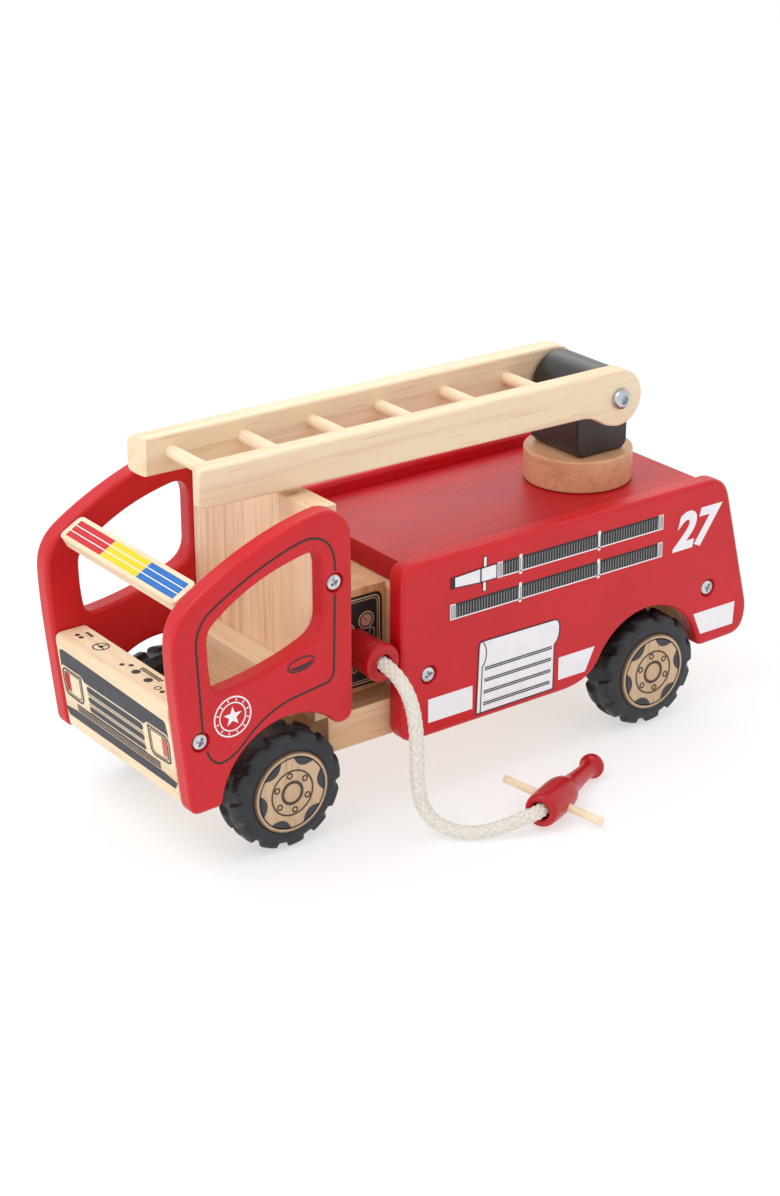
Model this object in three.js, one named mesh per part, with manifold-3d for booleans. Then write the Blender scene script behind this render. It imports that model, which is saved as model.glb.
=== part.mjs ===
// A wooden toy fire engine: painted ply sides on a natural wood frame, four rubber-tyred wheels on
// two steel axles, a ladder hinged on a turntable, and a cotton hose with a turned nozzle.
// Millimetres. +X runs from the front of the engine to its rear, +Y to its right, +Z up, ground at 0.
import * as THREE from 'three';
import { mergeVertices } from 'three/addons/utils/BufferGeometryUtils.js';
import Module from 'manifold-3d';

const wasm = await Module();
wasm.setup();

// ---- driving dimensions ----
const GAP = 0.3;                      // left between pieces that touch
const HALF_WIDTH = 60;                // outer face of the painted sides
const SIDE_THICK = 10.6;
const INNER = HALF_WIDTH - SIDE_THICK - GAP;   // half width of boards between the sides
const EDGE_ROUND = 2;                 // rounding of the painted sides' edges

const WHEEL = { front: -109.5, rear: 104.4, z: 29, radius: 29, hub: 19.8, width: 19, proud: 1.2 };
const AXLE = { radius: 2.4, bore: 2.65, depth: 14 };

const BASE = { bottom: 35.2, top: 53.2, wideStart: -81.2, rear: 146.6, tongueStart: -148.1, tongueHalf: 30 };
const NOTCH = { start: 71.4, end: 137.4 };     // where the base narrows between the rear wheels

const SEAT = { footTop: 60.3, top: 76, front: -102, rear: -88.7 };
const BULKHEAD = { front: -88.4, rear: -75.4, top: 155.2 };
const PUMP = { front: -75.1, rear: -39.2, face: -35.5, back: 25, top: 105 };
const FRONT_BOARD = { front: -38.9, rear: -25.9, top: 102.1 };
const REAR_BOARD = { front: 133.6, rear: 146.6, top: 102.1 };
const TOP_PANEL = { front: -33.3, rear: 149.6, bottom: 102.4, top: 113.8 };

const TURN = { x: 104.6, disc: 27, discTop: 130.3, pin: 3, pinBore: 3.3 };
const BLOCK = { half: 16, width: 36.4, roundZ: 158.8 };
const PIVOT = { x: TURN.x, z: 162, radius: 2.4, bore: 2.7 };
const LADDER = { outer: 30, thick: 10.5, bottom: 155.4, front: -133.9, restTilt: 0.9, rung: 3.2, socket: 5 };
const RUNG_FIRST = -116.7;
const RUNG_PITCH = 38.1;
const RUNG_Z = 165;
const RUNGS = 6;

const SPOUT = { x: -57.4, z: 77.3, radius: 8.7, lip: 9.3, bore: 4.2, depth: 13, end: -59.6 };
const HOSE = { radius: 3.4, sides: 8, steps: 28 };
const NOZZLE_REAR = new THREE.Vector3(-9.2, -112.9, 9.7);
const NOZZLE_TIP = new THREE.Vector3(46.4, -85.6, 5.8);
const CROSS_PIN = { along: 14.6, half: 25.5, radius: 1.9, bore: 2.2, tilt: 12.3 };

// ---- materials ----
function finish(color, roughness, metalness = 0) {
  return new THREE.MeshStandardMaterial({ color, roughness, metalness });
}
const RED = finish(0xb5121b, 0.35);
const WOOD = finish(0xe0c296, 0.6);
const BLACK = finish(0x17130f, 0.45);
const RUBBER = finish(0x22252a, 0.75);
const STEEL = finish(0xc4c8cc, 0.3, 1);
const COTTON = finish(0xece7da, 0.95);

// ---- small helpers ----
const engine = new THREE.Group();

function add(name, geometry, material) {
  const mesh = new THREE.Mesh(geometry, material);
  mesh.name = name;
  engine.add(mesh);
}

function toSolid(geometry) {
  const bare = new THREE.BufferGeometry();
  bare.setAttribute('position', geometry.getAttribute('position').clone());
  if (geometry.index) bare.setIndex(geometry.index.clone());
  const merged = mergeVertices(bare, 1e-4);
  return new wasm.Manifold(new wasm.Mesh({
    numProp: 3,
    vertProperties: new Float32Array(merged.getAttribute('position').array),
    triVerts: new Uint32Array(merged.index.array),
  }));
}

function toGeometry(solid) {
  const mesh = solid.getMesh();
  const geometry = new THREE.BufferGeometry();
  geometry.setAttribute('position', new THREE.BufferAttribute(new Float32Array(mesh.vertProperties), 3));
  geometry.setIndex(new THREE.BufferAttribute(new Uint32Array(mesh.triVerts), 1));
  geometry.computeVertexNormals();
  return geometry;
}

function cut(geometry, tools) {
  let solid = toSolid(geometry);
  for (const tool of tools) {
    solid = solid.subtract(toSolid(tool));
  }
  return toGeometry(solid);
}

// A board with its corners at (x0, y0, z0) and (x1, y1, z1).
function board(x0, x1, y0, y1, z0, z1) {
  const geometry = new THREE.BoxGeometry(x1 - x0, y1 - y0, z1 - z0);
  return geometry.translate((x0 + x1) / 2, (y0 + y1) / 2, (z0 + z1) / 2);
}

// A shape drawn in (x, z), made into a plate from y0 to y1 with edges rounded by `round`.
function plate(shape, y0, y1, round = 0, curveSegments = 7) {
  const geometry = new THREE.ExtrudeGeometry(shape, {
    depth: y1 - y0 - 2 * round,
    curveSegments,
    bevelEnabled: round > 0,
    bevelThickness: round,
    bevelSize: round,
    bevelOffset: -round,
    bevelSegments: 1,
  });
  return geometry.rotateX(Math.PI / 2).translate(0, y1 - round, 0);
}

// A shape drawn in (x, y), made into a board from z0 to z1.
function slab(shape, z0, z1) {
  const geometry = new THREE.ExtrudeGeometry(shape, { depth: z1 - z0, curveSegments: 5, bevelEnabled: false });
  return geometry.translate(0, 0, z0);
}

function cylinderY(radius, x, y0, y1, z, sides = 24) {
  return new THREE.CylinderGeometry(radius, radius, y1 - y0, sides).translate(x, (y0 + y1) / 2, z);
}

function cylinderZ(radius, x, y, z0, z1, sides = 24) {
  const geometry = new THREE.CylinderGeometry(radius, radius, z1 - z0, sides).rotateX(Math.PI / 2);
  return geometry.translate(x, y, (z0 + z1) / 2);
}

// A profile of [radius, height] pairs turned about the Y axis.
function turned(profile, segments = 32) {
  return new THREE.LatheGeometry(profile.map(([r, h]) => new THREE.Vector2(r, h)), segments);
}

// Points from a circle of a profile, in degrees.
function arcPoints(cr, ch, radius, from, to, steps) {
  return Array.from({ length: steps + 1 }, (_, i) => {
    const a = THREE.MathUtils.degToRad(from + ((to - from) * i) / steps);
    return [cr + radius * Math.cos(a), ch + radius * Math.sin(a)];
  });
}

// ---- painted sides ----
const CAB_SCREWS = [[-84, 123.7], [-155.2, 67]];
const BODY_SCREWS = [[-32.4, 64.9], [140.1, 64.4]];
const SCREW = { head: 3.9, headThick: 1.7, shank: 1.5, recess: 4.4, recessDepth: 2, hole: 1.9, depth: 8.6 };

function cabSideShape() {
  const arch = { x: -108.4, z: 29.4, r: 36.4 };
  const s = new THREE.Shape();
  s.moveTo(-74.4, 66);
  s.lineTo(-74.4, 143);
  s.absarc(-89.4, 143, 15, 0, Math.PI / 2);
  s.bezierCurveTo(-112, 155.5, -140, 143.5, -157.4, 131.5);
  s.quadraticCurveTo(-167.2, 124.5, -167.2, 112);
  s.bezierCurveTo(-167.2, 95, -164.6, 72, -161, 37);
  s.quadraticCurveTo(-160.4, 32.2, -156.5, 32.2);
  s.lineTo(-147.5, 32.6);
  s.quadraticCurveTo(-144.6, 32.8, -144.3, 35.5);
  s.absarc(arch.x, arch.z, arch.r, Math.PI * 0.946, Math.PI * 0.317, true);
  s.bezierCurveTo(-85.5, 57.4, -84, 54.6, -81, 54.6);
  s.quadraticCurveTo(-74.4, 54.6, -74.4, 62);
  s.closePath();
  s.holes.push(windowShape());
  return s;
}

function windowShape() {
  const w = new THREE.Path();
  w.moveTo(-90, 130);
  w.quadraticCurveTo(-90, 141.6, -99, 140.2);
  w.bezierCurveTo(-117, 137, -133, 130.5, -146.4, 119.6);
  w.quadraticCurveTo(-149.6, 117, -149.6, 112);
  w.bezierCurveTo(-149.6, 104, -149.2, 98, -148.2, 92);
  w.quadraticCurveTo(-147.4, 87.2, -142.4, 87.6);
  w.bezierCurveTo(-126, 89.2, -110, 93, -97.4, 98.4);
  w.quadraticCurveTo(-90.2, 101.6, -90.1, 109.6);
  w.closePath();
  return w;
}

function bodySideShape() {
  const arch = { x: 101.5, z: 29, r: 34.3 };
  const s = new THREE.Shape();
  s.moveTo(-39.9, 33.5);
  s.lineTo(48, 33.8);
  s.bezierCurveTo(60, 34, 68.5, 38, 72.4, 47.2);
  s.absarc(arch.x, arch.z, arch.r, Math.PI * 0.822, Math.PI * 0.067, true);
  s.quadraticCurveTo(135.6, 33.8, 139, 33.8);
  s.lineTo(157, 34.2);
  s.quadraticCurveTo(168, 34.4, 167.3, 50);
  s.lineTo(152, 110.5);
  s.quadraticCurveTo(149.3, 121, 139, 121);
  s.lineTo(-39.9, 121);
  s.quadraticCurveTo(-47.9, 121, -47.9, 113);
  s.lineTo(-47.9, 41.5);
  s.quadraticCurveTo(-47.9, 33.5, -39.9, 33.5);
  return s;
}

// A side with its screw recesses; side is -1 for the left of the engine and +1 for the right.
function paintedSide(shape, screws, side) {
  const y0 = side < 0 ? -HALF_WIDTH : HALF_WIDTH - SIDE_THICK;
  const outer = side * HALF_WIDTH;
  const tools = screws.flatMap(([x, z]) => {
    const span = (depth) => [outer, outer - side * depth].sort((a, b) => a - b);
    const past = (pair) => (side < 0 ? [pair[0] - 1, pair[1]] : [pair[0], pair[1] + 1]);
    const recess = past(span(SCREW.recessDepth));
    const hole = past(span(SCREW.depth));
    return [cylinderY(SCREW.recess, x, recess[0], recess[1], z, 16), cylinderY(SCREW.hole, x, hole[0], hole[1], z, 8)];
  });
  return cut(plate(shape, y0, y0 + SIDE_THICK, EDGE_ROUND), tools);
}

// A countersunk-look screw: a low domed head on a shank, lying in the side's recess.
function screw(x, z, side) {
  const headTop = -SCREW.recessDepth + GAP + SCREW.headThick;
  const profile = [
    [0, -SCREW.depth + GAP],
    [SCREW.shank, -SCREW.depth + GAP],
    [SCREW.shank, -SCREW.recessDepth + GAP],
    [SCREW.head, -SCREW.recessDepth + GAP],
    [SCREW.head, headTop - 0.9],
    [SCREW.head * 0.75, headTop - 0.25],
    [0, headTop],
  ];
  const geometry = turned(profile, 14);
  if (side < 0) geometry.rotateX(Math.PI);
  return geometry.translate(x, side * HALF_WIDTH, z);
}

const SIDE_NAMES = [['left', -1], ['right', 1]];
for (const [label, side] of SIDE_NAMES) {
  add(`cab_side_${label}`, paintedSide(cabSideShape(), CAB_SCREWS, side), RED);
  add(`body_side_${label}`, paintedSide(bodySideShape(), BODY_SCREWS, side), RED);
  CAB_SCREWS.forEach(([x, z], i) => add(`cab_screw_${label}_${i + 1}`, screw(x, z, side), STEEL));
  BODY_SCREWS.forEach(([x, z], i) => add(`body_screw_${label}_${i + 1}`, screw(x, z, side), STEEL));
}

// ---- natural wood frame ----
function baseShape() {
  const { wideStart, rear, tongueStart, tongueHalf } = BASE;
  const half = [
    [tongueStart, tongueHalf], [wideStart, tongueHalf], [wideStart, INNER], [NOTCH.start, INNER],
    [NOTCH.start, tongueHalf], [NOTCH.end, tongueHalf], [NOTCH.end, INNER], [rear, INNER],
  ];
  const mirrored = half.map(([x, y]) => [x, -y]).reverse();
  return new THREE.Shape([...half, ...mirrored].map(([x, y]) => new THREE.Vector2(x, y)));
}

// The front block leans back from its top edge to its foot.
function bumperShape() {
  const s = new THREE.Shape();
  s.moveTo(-148.4, 33.3);
  s.lineTo(-148.4, 80.5);
  s.quadraticCurveTo(-148.4, 82.5, -150.4, 82.5);
  s.lineTo(-161.5, 82.5);
  s.quadraticCurveTo(-165.3, 82.5, -164.9, 78.5);
  s.lineTo(-160.3, 36.5);
  s.quadraticCurveTo(-159.8, 33.3, -157, 33.3);
  s.closePath();
  return s;
}

// The light bar is a thin plank with rounded corners, leaning forward in line with the roof.
function lightBar() {
  const half = { x: 7, y: INNER, r: 3, thick: 3 };
  const s = new THREE.Shape();
  s.moveTo(half.x, half.r - half.y);
  s.lineTo(half.x, half.y - half.r);
  s.absarc(half.x - half.r, half.y - half.r, half.r, 0, Math.PI / 2);
  s.absarc(half.r - half.x, half.y - half.r, half.r, Math.PI / 2, Math.PI);
  s.absarc(half.r - half.x, half.r - half.y, half.r, Math.PI, Math.PI * 1.5);
  s.absarc(half.x - half.r, half.r - half.y, half.r, Math.PI * 1.5, Math.PI * 2);
  const geometry = slab(s, -half.thick, half.thick);
  return geometry.rotateY(THREE.MathUtils.degToRad(-28.9)).translate(-152.4, 0, 129.9);
}

function topPanel() {
  const panel = board(TOP_PANEL.front, TOP_PANEL.rear, -INNER, INNER, TOP_PANEL.bottom, TOP_PANEL.top);
  return cut(panel, [cylinderZ(TURN.pinBore, TURN.x, 0, TOP_PANEL.bottom - 1, TOP_PANEL.top + 1)]);
}

// The seat is a board on edge, with a narrow foot that stands between the front tyres.
function seatBoard() {
  const foot = BASE.top + GAP;
  const whole = board(SEAT.front, SEAT.rear, -INNER, INNER, foot, SEAT.top);
  const notches = [-1, 1].map((side) => {
    const [y0, y1] = [side * BASE.tongueHalf, side * (INNER + 1)].sort((a, b) => a - b);
    return board(SEAT.front - 1, SEAT.rear + 1, y0, y1, foot - 1, SEAT.footTop);
  });
  return cut(whole, notches);
}

// The block that carries an axle under the base.
function axleBlock(x) {
  const bottom = 19.5;
  const block = board(x - 11, x + 11, -BASE.tongueHalf, BASE.tongueHalf, bottom, BASE.bottom - GAP);
  return cut(block, [cylinderY(AXLE.bore, x, -BASE.tongueHalf - 1, BASE.tongueHalf + 1, WHEEL.z)]);
}

add('base_board', slab(baseShape(), BASE.bottom, BASE.top), WOOD);
add('seat_board', seatBoard(), WOOD);
add('bulkhead', board(BULKHEAD.front, BULKHEAD.rear, -INNER, INNER, BASE.top + GAP, BULKHEAD.top), WOOD);
add('bumper_block', plate(bumperShape(), -INNER, INNER, 0.8, 5), WOOD);
add('light_bar', lightBar(), WOOD);
add('pump_block', board(PUMP.front, PUMP.rear, PUMP.face, PUMP.back, BASE.top + GAP, PUMP.top), WOOD);
add('body_front_board', board(FRONT_BOARD.front, FRONT_BOARD.rear, -INNER, INNER, BASE.top + GAP,
  FRONT_BOARD.top), WOOD);
add('body_rear_board', board(REAR_BOARD.front, REAR_BOARD.rear, -INNER, INNER, BASE.top + GAP,
  REAR_BOARD.top), WOOD);
add('top_panel', topPanel(), RED);
add('axle_block_front', axleBlock(WHEEL.front), WOOD);
add('axle_block_rear', axleBlock(WHEEL.rear), WOOD);

// ---- wheels ----
function tyreGeometry() {
  const half = WHEEL.width / 2;
  const inner = WHEEL.hub + GAP;
  const profile = [
    [inner, -half + 1.2], [inner + 1.6, -half], [25.6, -half + 0.2],
    ...arcPoints(WHEEL.radius - 4, -half + 4.2, 4, -75, 0, 2),
    ...arcPoints(WHEEL.radius - 4, half - 4.2, 4, 0, 75, 2),
    [25.6, half - 0.2], [inner + 1.6, half], [inner, half - 1.2], [inner, -half + 1.2],
  ];
  return turned(profile, 32);
}

// The hub's printed face looks outwards, along +Y before it is turned over for the left side.
function hubGeometry() {
  const half = WHEEL.width / 2;
  const face = half + WHEEL.proud;
  const bore = AXLE.radius + GAP;
  const profile = [
    [0, face - 0.2], [WHEEL.hub - 1.4, face], [WHEEL.hub, face - 1.4], [WHEEL.hub, 1 - half],
    [WHEEL.hub - 1, -half], [bore, -half], [bore, AXLE.depth - half], [0, AXLE.depth - half],
  ];
  return turned(profile.reverse(), 32);
}

function addWheel(axle, x, label, side) {
  const centre = side * (HALF_WIDTH - WHEEL.width / 2);
  const place = (geometry) => {
    if (side < 0) geometry.rotateX(Math.PI);
    return geometry.translate(x, centre, WHEEL.z);
  };
  add(`tyre_${axle}_${label}`, place(tyreGeometry()), RUBBER);
  add(`hub_${axle}_${label}`, place(hubGeometry()), WOOD);
}

for (const axle of ['front', 'rear']) {
  const x = WHEEL[axle];
  const reach = HALF_WIDTH - WHEEL.width + AXLE.depth - GAP;
  add(`axle_${axle}`, cylinderY(AXLE.radius, x, -reach, reach, WHEEL.z, 20), STEEL);
  for (const [label, side] of SIDE_NAMES) addWheel(axle, x, label, side);
}

// ---- turntable ----
const PIN = { headRadius: 6, headThick: 3, top: 146 };

function turntableDisc() {
  const r = TURN.disc;
  const z0 = TOP_PANEL.top + GAP;
  const bore = TURN.pinBore;
  const profile = [
    [bore, z0], [r - 0.8, z0], [r, z0 + 0.8], [r, TURN.discTop - 0.8], [r - 0.8, TURN.discTop],
    [bore, TURN.discTop], [bore, z0],
  ];
  return turned(profile, 36).rotateX(Math.PI / 2).translate(TURN.x, 0, 0);
}

function towerBlock() {
  const z0 = TURN.discTop + GAP;
  const s = new THREE.Shape();
  s.moveTo(TURN.x - BLOCK.half, z0);
  s.lineTo(TURN.x + BLOCK.half, z0);
  s.lineTo(TURN.x + BLOCK.half, BLOCK.roundZ);
  s.absarc(TURN.x, BLOCK.roundZ, BLOCK.half, 0, Math.PI);
  s.closePath();
  const half = BLOCK.width / 2;
  return cut(plate(s, -half, half, 0.8, 14), [
    cylinderY(PIVOT.bore, PIVOT.x, -half - 1, half + 1, PIVOT.z),
    cylinderZ(TURN.pinBore, TURN.x, 0, z0 - 1, PIN.top + GAP),
  ]);
}

function turntablePin() {
  const head = TOP_PANEL.bottom - GAP;
  const profile = [
    [0, head - PIN.headThick], [PIN.headRadius, head - PIN.headThick], [PIN.headRadius, head],
    [TURN.pin, head], [TURN.pin, PIN.top], [0, PIN.top],
  ];
  return turned(profile, 20).rotateX(Math.PI / 2).translate(TURN.x, 0, 0);
}

const BOLT = { head: 5.2, headThick: 3.4, socket: 2.4, socketDepth: 1.8, nut: 5.6, nutThick: 4.4, reach: 37.5 };
const WASHER = { radius: 7, thick: 0.7 };

// The pivot bolt: a domed head with a hexagon socket on the left, its plain end on the right.
function pivotBolt() {
  const seat = LADDER.outer + GAP;
  const shank = [[0, BOLT.reach], [PIVOT.radius, BOLT.reach], [PIVOT.radius, -seat], [BOLT.head, -seat]];
  const rim = [[BOLT.head, -seat - 1.4], [BOLT.head * 0.8, -seat - 2.7], [BOLT.head * 0.5, -seat - BOLT.headThick]];
  const geometry = turned([...shank, ...rim, [0, -seat - BOLT.headThick]].reverse(), 24);
  const socketEnd = -seat - BOLT.headThick + BOLT.socketDepth;
  const socket = new THREE.CylinderGeometry(BOLT.socket, BOLT.socket, BOLT.socketDepth + 1, 6);
  socket.translate(0, socketEnd - (BOLT.socketDepth + 1) / 2, 0);
  return cut(geometry, [socket]).translate(PIVOT.x, 0, PIVOT.z);
}

function pivotNut() {
  const seat = LADDER.outer + GAP;
  const nut = new THREE.CylinderGeometry(BOLT.nut, BOLT.nut, BOLT.nutThick, 6);
  nut.translate(0, seat + BOLT.nutThick / 2, 0);
  return cut(nut, [cylinderY(PIVOT.radius + GAP, 0, seat - 1, seat + BOLT.nutThick + 1, 0, 20)])
    .translate(PIVOT.x, 0, PIVOT.z);
}

function washer(side) {
  const y0 = BLOCK.width / 2 + GAP;
  const profile = [
    [PIVOT.bore, y0], [WASHER.radius, y0], [WASHER.radius, y0 + WASHER.thick],
    [PIVOT.bore, y0 + WASHER.thick], [PIVOT.bore, y0],
  ];
  const geometry = turned(profile, 24);
  if (side < 0) geometry.rotateX(Math.PI);
  return geometry.translate(PIVOT.x, 0, PIVOT.z);
}

add('turntable_disc', turntableDisc(), WOOD);
add('turntable_block', towerBlock(), BLACK);
add('turntable_pin', turntablePin(), STEEL);
add('ladder_bolt', pivotBolt(), STEEL);
add('ladder_nut', pivotNut(), STEEL);
for (const [label, side] of SIDE_NAMES) add(`ladder_washer_${label}`, washer(side), STEEL);

// ---- ladder ----
function railShape() {
  const { front, bottom } = LADDER;
  const s = new THREE.Shape();
  s.moveTo(front, 160.5);
  s.lineTo(front, 170);
  s.quadraticCurveTo(front, 173.5, front + 3.6, 173.5);
  s.lineTo(88, 175.8);
  s.quadraticCurveTo(97, 176, PIVOT.x, 176);
  s.absarc(PIVOT.x, PIVOT.z, 14, Math.PI / 2, -Math.PI * 0.6, true);
  s.bezierCurveTo(93.5, 149.8, 91, bottom, 81, bottom);
  s.lineTo(front + 5, bottom);
  s.quadraticCurveTo(front, bottom, front, 160.5);
  return s;
}

// The rail's tip is cut back a little on its inner side.
function tipCut(side) {
  const inset = 4;
  const wedge = new THREE.Shape();
  const inner = LADDER.outer - LADDER.thick;
  wedge.moveTo(LADDER.front - 2, side * (inner - 2));
  wedge.lineTo(LADDER.front + inset + 0.8, side * (inner - 2));
  wedge.lineTo(LADDER.front - 2, side * (LADDER.outer + 5));
  wedge.closePath();
  return slab(wedge, LADDER.bottom - 5, PIVOT.z + 20);
}

function rail(side) {
  const inner = LADDER.outer - LADDER.thick;
  const [y0, y1] = side < 0 ? [-LADDER.outer, -inner] : [inner, LADDER.outer];
  const tools = [cylinderY(PIVOT.bore, PIVOT.x, y0 - 1, y1 + 1, PIVOT.z), tipCut(side)];
  for (let i = 0; i < RUNGS; i += 1) {
    const [h0, h1] = [inner - 1, inner + LADDER.socket + GAP].map((y) => y * side).sort((a, b) => a - b);
    tools.push(cylinderY(LADDER.rung + GAP, RUNG_FIRST + i * RUNG_PITCH, h0, h1, RUNG_Z, 12));
  }
  return cut(plate(railShape(), y0, y1, 1.2), tools);
}

// Tilts a piece of the ladder up about its pivot, to where the ladder rests.
function tilted(geometry) {
  return geometry
    .translate(-PIVOT.x, 0, -PIVOT.z)
    .rotateY(THREE.MathUtils.degToRad(LADDER.restTilt))
    .translate(PIVOT.x, 0, PIVOT.z);
}

for (const [label, side] of SIDE_NAMES) add(`ladder_rail_${label}`, tilted(rail(side)), WOOD);
for (let i = 0; i < RUNGS; i += 1) {
  const reach = LADDER.outer - LADDER.thick + LADDER.socket;
  const rung = cylinderY(LADDER.rung, RUNG_FIRST + i * RUNG_PITCH, -reach, reach, RUNG_Z, 12);
  add(`ladder_rung_${i + 1}`, tilted(rung), WOOD);
}

// ---- hose, spout and nozzle ----
function spout() {
  const { radius, lip, bore, depth, end } = SPOUT;
  const root = PUMP.face - GAP;
  const length = root - end;
  const profile = [
    [0, 0], [radius, 0], [radius, length - 5], [radius - 0.6, length - 4.4], [lip, length - 3.4],
    [lip, length - 1.4], [lip - 1.4, length], [bore, length], [bore, length - depth], [0, length - depth],
  ];
  return turned(profile, 22).rotateX(Math.PI).translate(SPOUT.x, root, SPOUT.z);
}

// The hose leaves the spout, falls to the ground and curls forward to the nozzle.
const HOSE_ROUTE = [
  [-57.4, -47.2, 77.3], [-57.4, -55, 77.2], [-57.4, -63, 76.4], [-56.9, -70.5, 73.2], [-56.2, -75.8, 67.8],
  [-55.6, -78.9, 60.5], [-55.4, -80.6, 52], [-55.8, -81.8, 43], [-56.4, -82.8, 34], [-56.4, -83.8, 25],
  [-55.2, -85.4, 16], [-51.6, -89.2, 8.6], [-46.6, -94.8, 4.8], [-41.2, -100.2, 3.7], [-35, -104.2, 3.9],
  [-28.6, -107, 5], [-23, -109.4, 6.6], [-18.2, -111.6, 8.6], [-13.6, -112.8, 9.4], [-9, -112.4, 9.65],
  [-4.9, -110.8, 9.45],
];

function hose() {
  const path = new THREE.CatmullRomCurve3(HOSE_ROUTE.map(([x, y, z]) => new THREE.Vector3(x, y, z)));
  const ring = new THREE.Shape();
  ring.setFromPoints(Array.from({ length: HOSE.sides }, (_, i) => {
    const a = (2 * Math.PI * i) / HOSE.sides;
    return new THREE.Vector2(HOSE.radius * Math.cos(a), HOSE.radius * Math.sin(a));
  }));
  return new THREE.ExtrudeGeometry(ring, { steps: HOSE.steps, extrudePath: path, curveSegments: 1 });
}

// Stands a piece drawn along +Y from its foot on the nozzle's axis, foot at the hose end.
function alongNozzle(geometry) {
  const axis = NOZZLE_TIP.clone().sub(NOZZLE_REAR).normalize();
  const turn = new THREE.Quaternion().setFromUnitVectors(new THREE.Vector3(0, 1, 0), axis);
  return geometry.applyQuaternion(turn).translate(NOZZLE_REAR.x, NOZZLE_REAR.y, NOZZLE_REAR.z);
}

function crossPin(radius, half) {
  const axis = NOZZLE_TIP.clone().sub(NOZZLE_REAR).normalize();
  const tilt = THREE.MathUtils.degToRad(CROSS_PIN.tilt);
  const level = new THREE.Vector3(axis.y, -axis.x, 0).normalize();
  const across = level.multiplyScalar(Math.cos(tilt)).add(new THREE.Vector3(0, 0, -Math.sin(tilt)));
  const turn = new THREE.Quaternion().setFromUnitVectors(new THREE.Vector3(0, 1, 0), across);
  const centre = NOZZLE_REAR.clone().addScaledVector(axis, CROSS_PIN.along);
  const geometry = new THREE.CylinderGeometry(radius, radius, 2 * half, 16);
  return geometry.applyQuaternion(turn).translate(centre.x, centre.y, centre.z);
}

function nozzle() {
  const length = NOZZLE_TIP.distanceTo(NOZZLE_REAR);
  const bore = 5.2;
  const boreDepth = 9;
  const profile = [
    [0, boreDepth], [bore, boreDepth], [bore, 1], [bore + 0.9, 0], [6.9, 0], [8.1, 1.4], [8.2, 3], [8.2, 22], [7.6, 26],
    [5.6, 31], [4.8, 34], [4, 46], [3.8, 53], [4.4, 56], [5.6, 58], [5.7, 60], [5, length], [0, length],
  ];
  return cut(alongNozzle(turned(profile, 20)), [crossPin(CROSS_PIN.bore, 20)]);
}

add('spout', spout(), RED);
add('hose', hose(), COTTON);
add('nozzle', nozzle(), RED);
add('nozzle_cross_pin', crossPin(CROSS_PIN.radius, CROSS_PIN.half), WOOD);

export default engine;
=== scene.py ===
"""A wooden toy fire engine, dressed around its CAD frame.

Painted sides, natural wood boards, a ladder on a turntable, rubber tyres and a cotton hose.
Sizes below are in millimetres, in the frame's axes: +X front to rear, -Y left side, +Z up.
"""
import math
import random

import bmesh
import bpy
from mathutils import Matrix, Vector


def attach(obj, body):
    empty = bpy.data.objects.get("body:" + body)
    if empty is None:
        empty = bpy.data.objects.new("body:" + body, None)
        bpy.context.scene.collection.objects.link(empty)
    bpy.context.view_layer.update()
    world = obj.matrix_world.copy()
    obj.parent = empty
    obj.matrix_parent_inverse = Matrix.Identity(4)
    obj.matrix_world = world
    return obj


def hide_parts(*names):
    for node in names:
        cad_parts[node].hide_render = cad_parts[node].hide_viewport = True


MM = 0.001
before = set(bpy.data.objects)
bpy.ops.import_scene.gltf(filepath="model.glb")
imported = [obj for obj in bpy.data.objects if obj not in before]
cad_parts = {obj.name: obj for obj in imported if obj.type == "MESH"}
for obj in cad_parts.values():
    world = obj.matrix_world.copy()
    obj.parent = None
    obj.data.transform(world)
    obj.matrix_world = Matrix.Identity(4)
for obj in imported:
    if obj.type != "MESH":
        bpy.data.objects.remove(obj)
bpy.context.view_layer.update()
PAPER = 0.12                      # thickness of a printed layer of ink
INK_STEP = PAPER * 0.9            # rise from one layer of ink to the next
GAP = 0.3                         # left between pieces that touch
CAMERA = {"lens": 74.87, "heading": -36.06, "down": 23.26, "roll": -0.24}
CAMERA_PLACE = (-0.6531, -0.8822, 0.5461)         # in metres

# ---------------------------------------------------------------- driving dimensions
HALF_WIDTH = 60
SIDE_THICK = 10.6
EDGE_ROUND = 2.4
INNER = HALF_WIDTH - SIDE_THICK - GAP

WHEEL_X = {"front": -109.5, "rear": 104.4}
WHEEL = {"z": 29, "radius": 29, "hub": 19.8, "width": 19, "proud": 1.2, "bore_depth": 14}
WHEEL_FACE = WHEEL["width"] / 2 + WHEEL["proud"]
LUGS = 12
LUG_DEPTH = 2.2

TURN = {"x": 104.6, "disc": 27, "bottom": 114.1, "top": 130.3}
PIN_BORE = {"radius": 3.3, "low": -4, "high": 15.7}      # heights above the block's foot
STEEL_BORE = 2.7                  # radius of the holes for the axles and the ladder bolt
BLOCK = {"half": 16, "half_width": 18.2, "bottom": 130.6, "round_z": 158.8}
PIVOT_Z = 162
LADDER = {"outer": 30, "thick": 10.5, "bottom": 155.4, "front": -133.9, "tilt": 0.9}
RUNGS = {"count": 6, "first": -116.7, "pitch": 38.1, "z": 165, "radius": 3.2, "socket": 5}

SCREWS = {"cab": [(-84, 123.7), (-155.2, 67)], "body": [(-32.4, 64.9), (140.1, 64.4)]}
SCREW = {"head": 3.9, "recess": 4.5, "sunk": 2}

BUMPER_TOP = 82.5
BUMPER_FACE = [(-164.9, 78.5), (-160.3, 36.5)]    # (x, z) at the top and foot of the sloping front
LIGHT_BAR = {"centre": (-152.4, 0, 129.9), "lean": -28.9, "half_thick": 3}
PUMP_FACE = -35.5
NUMBER = {"text": "27", "size": 25.5, "x": 128, "z": 90.2}

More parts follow.
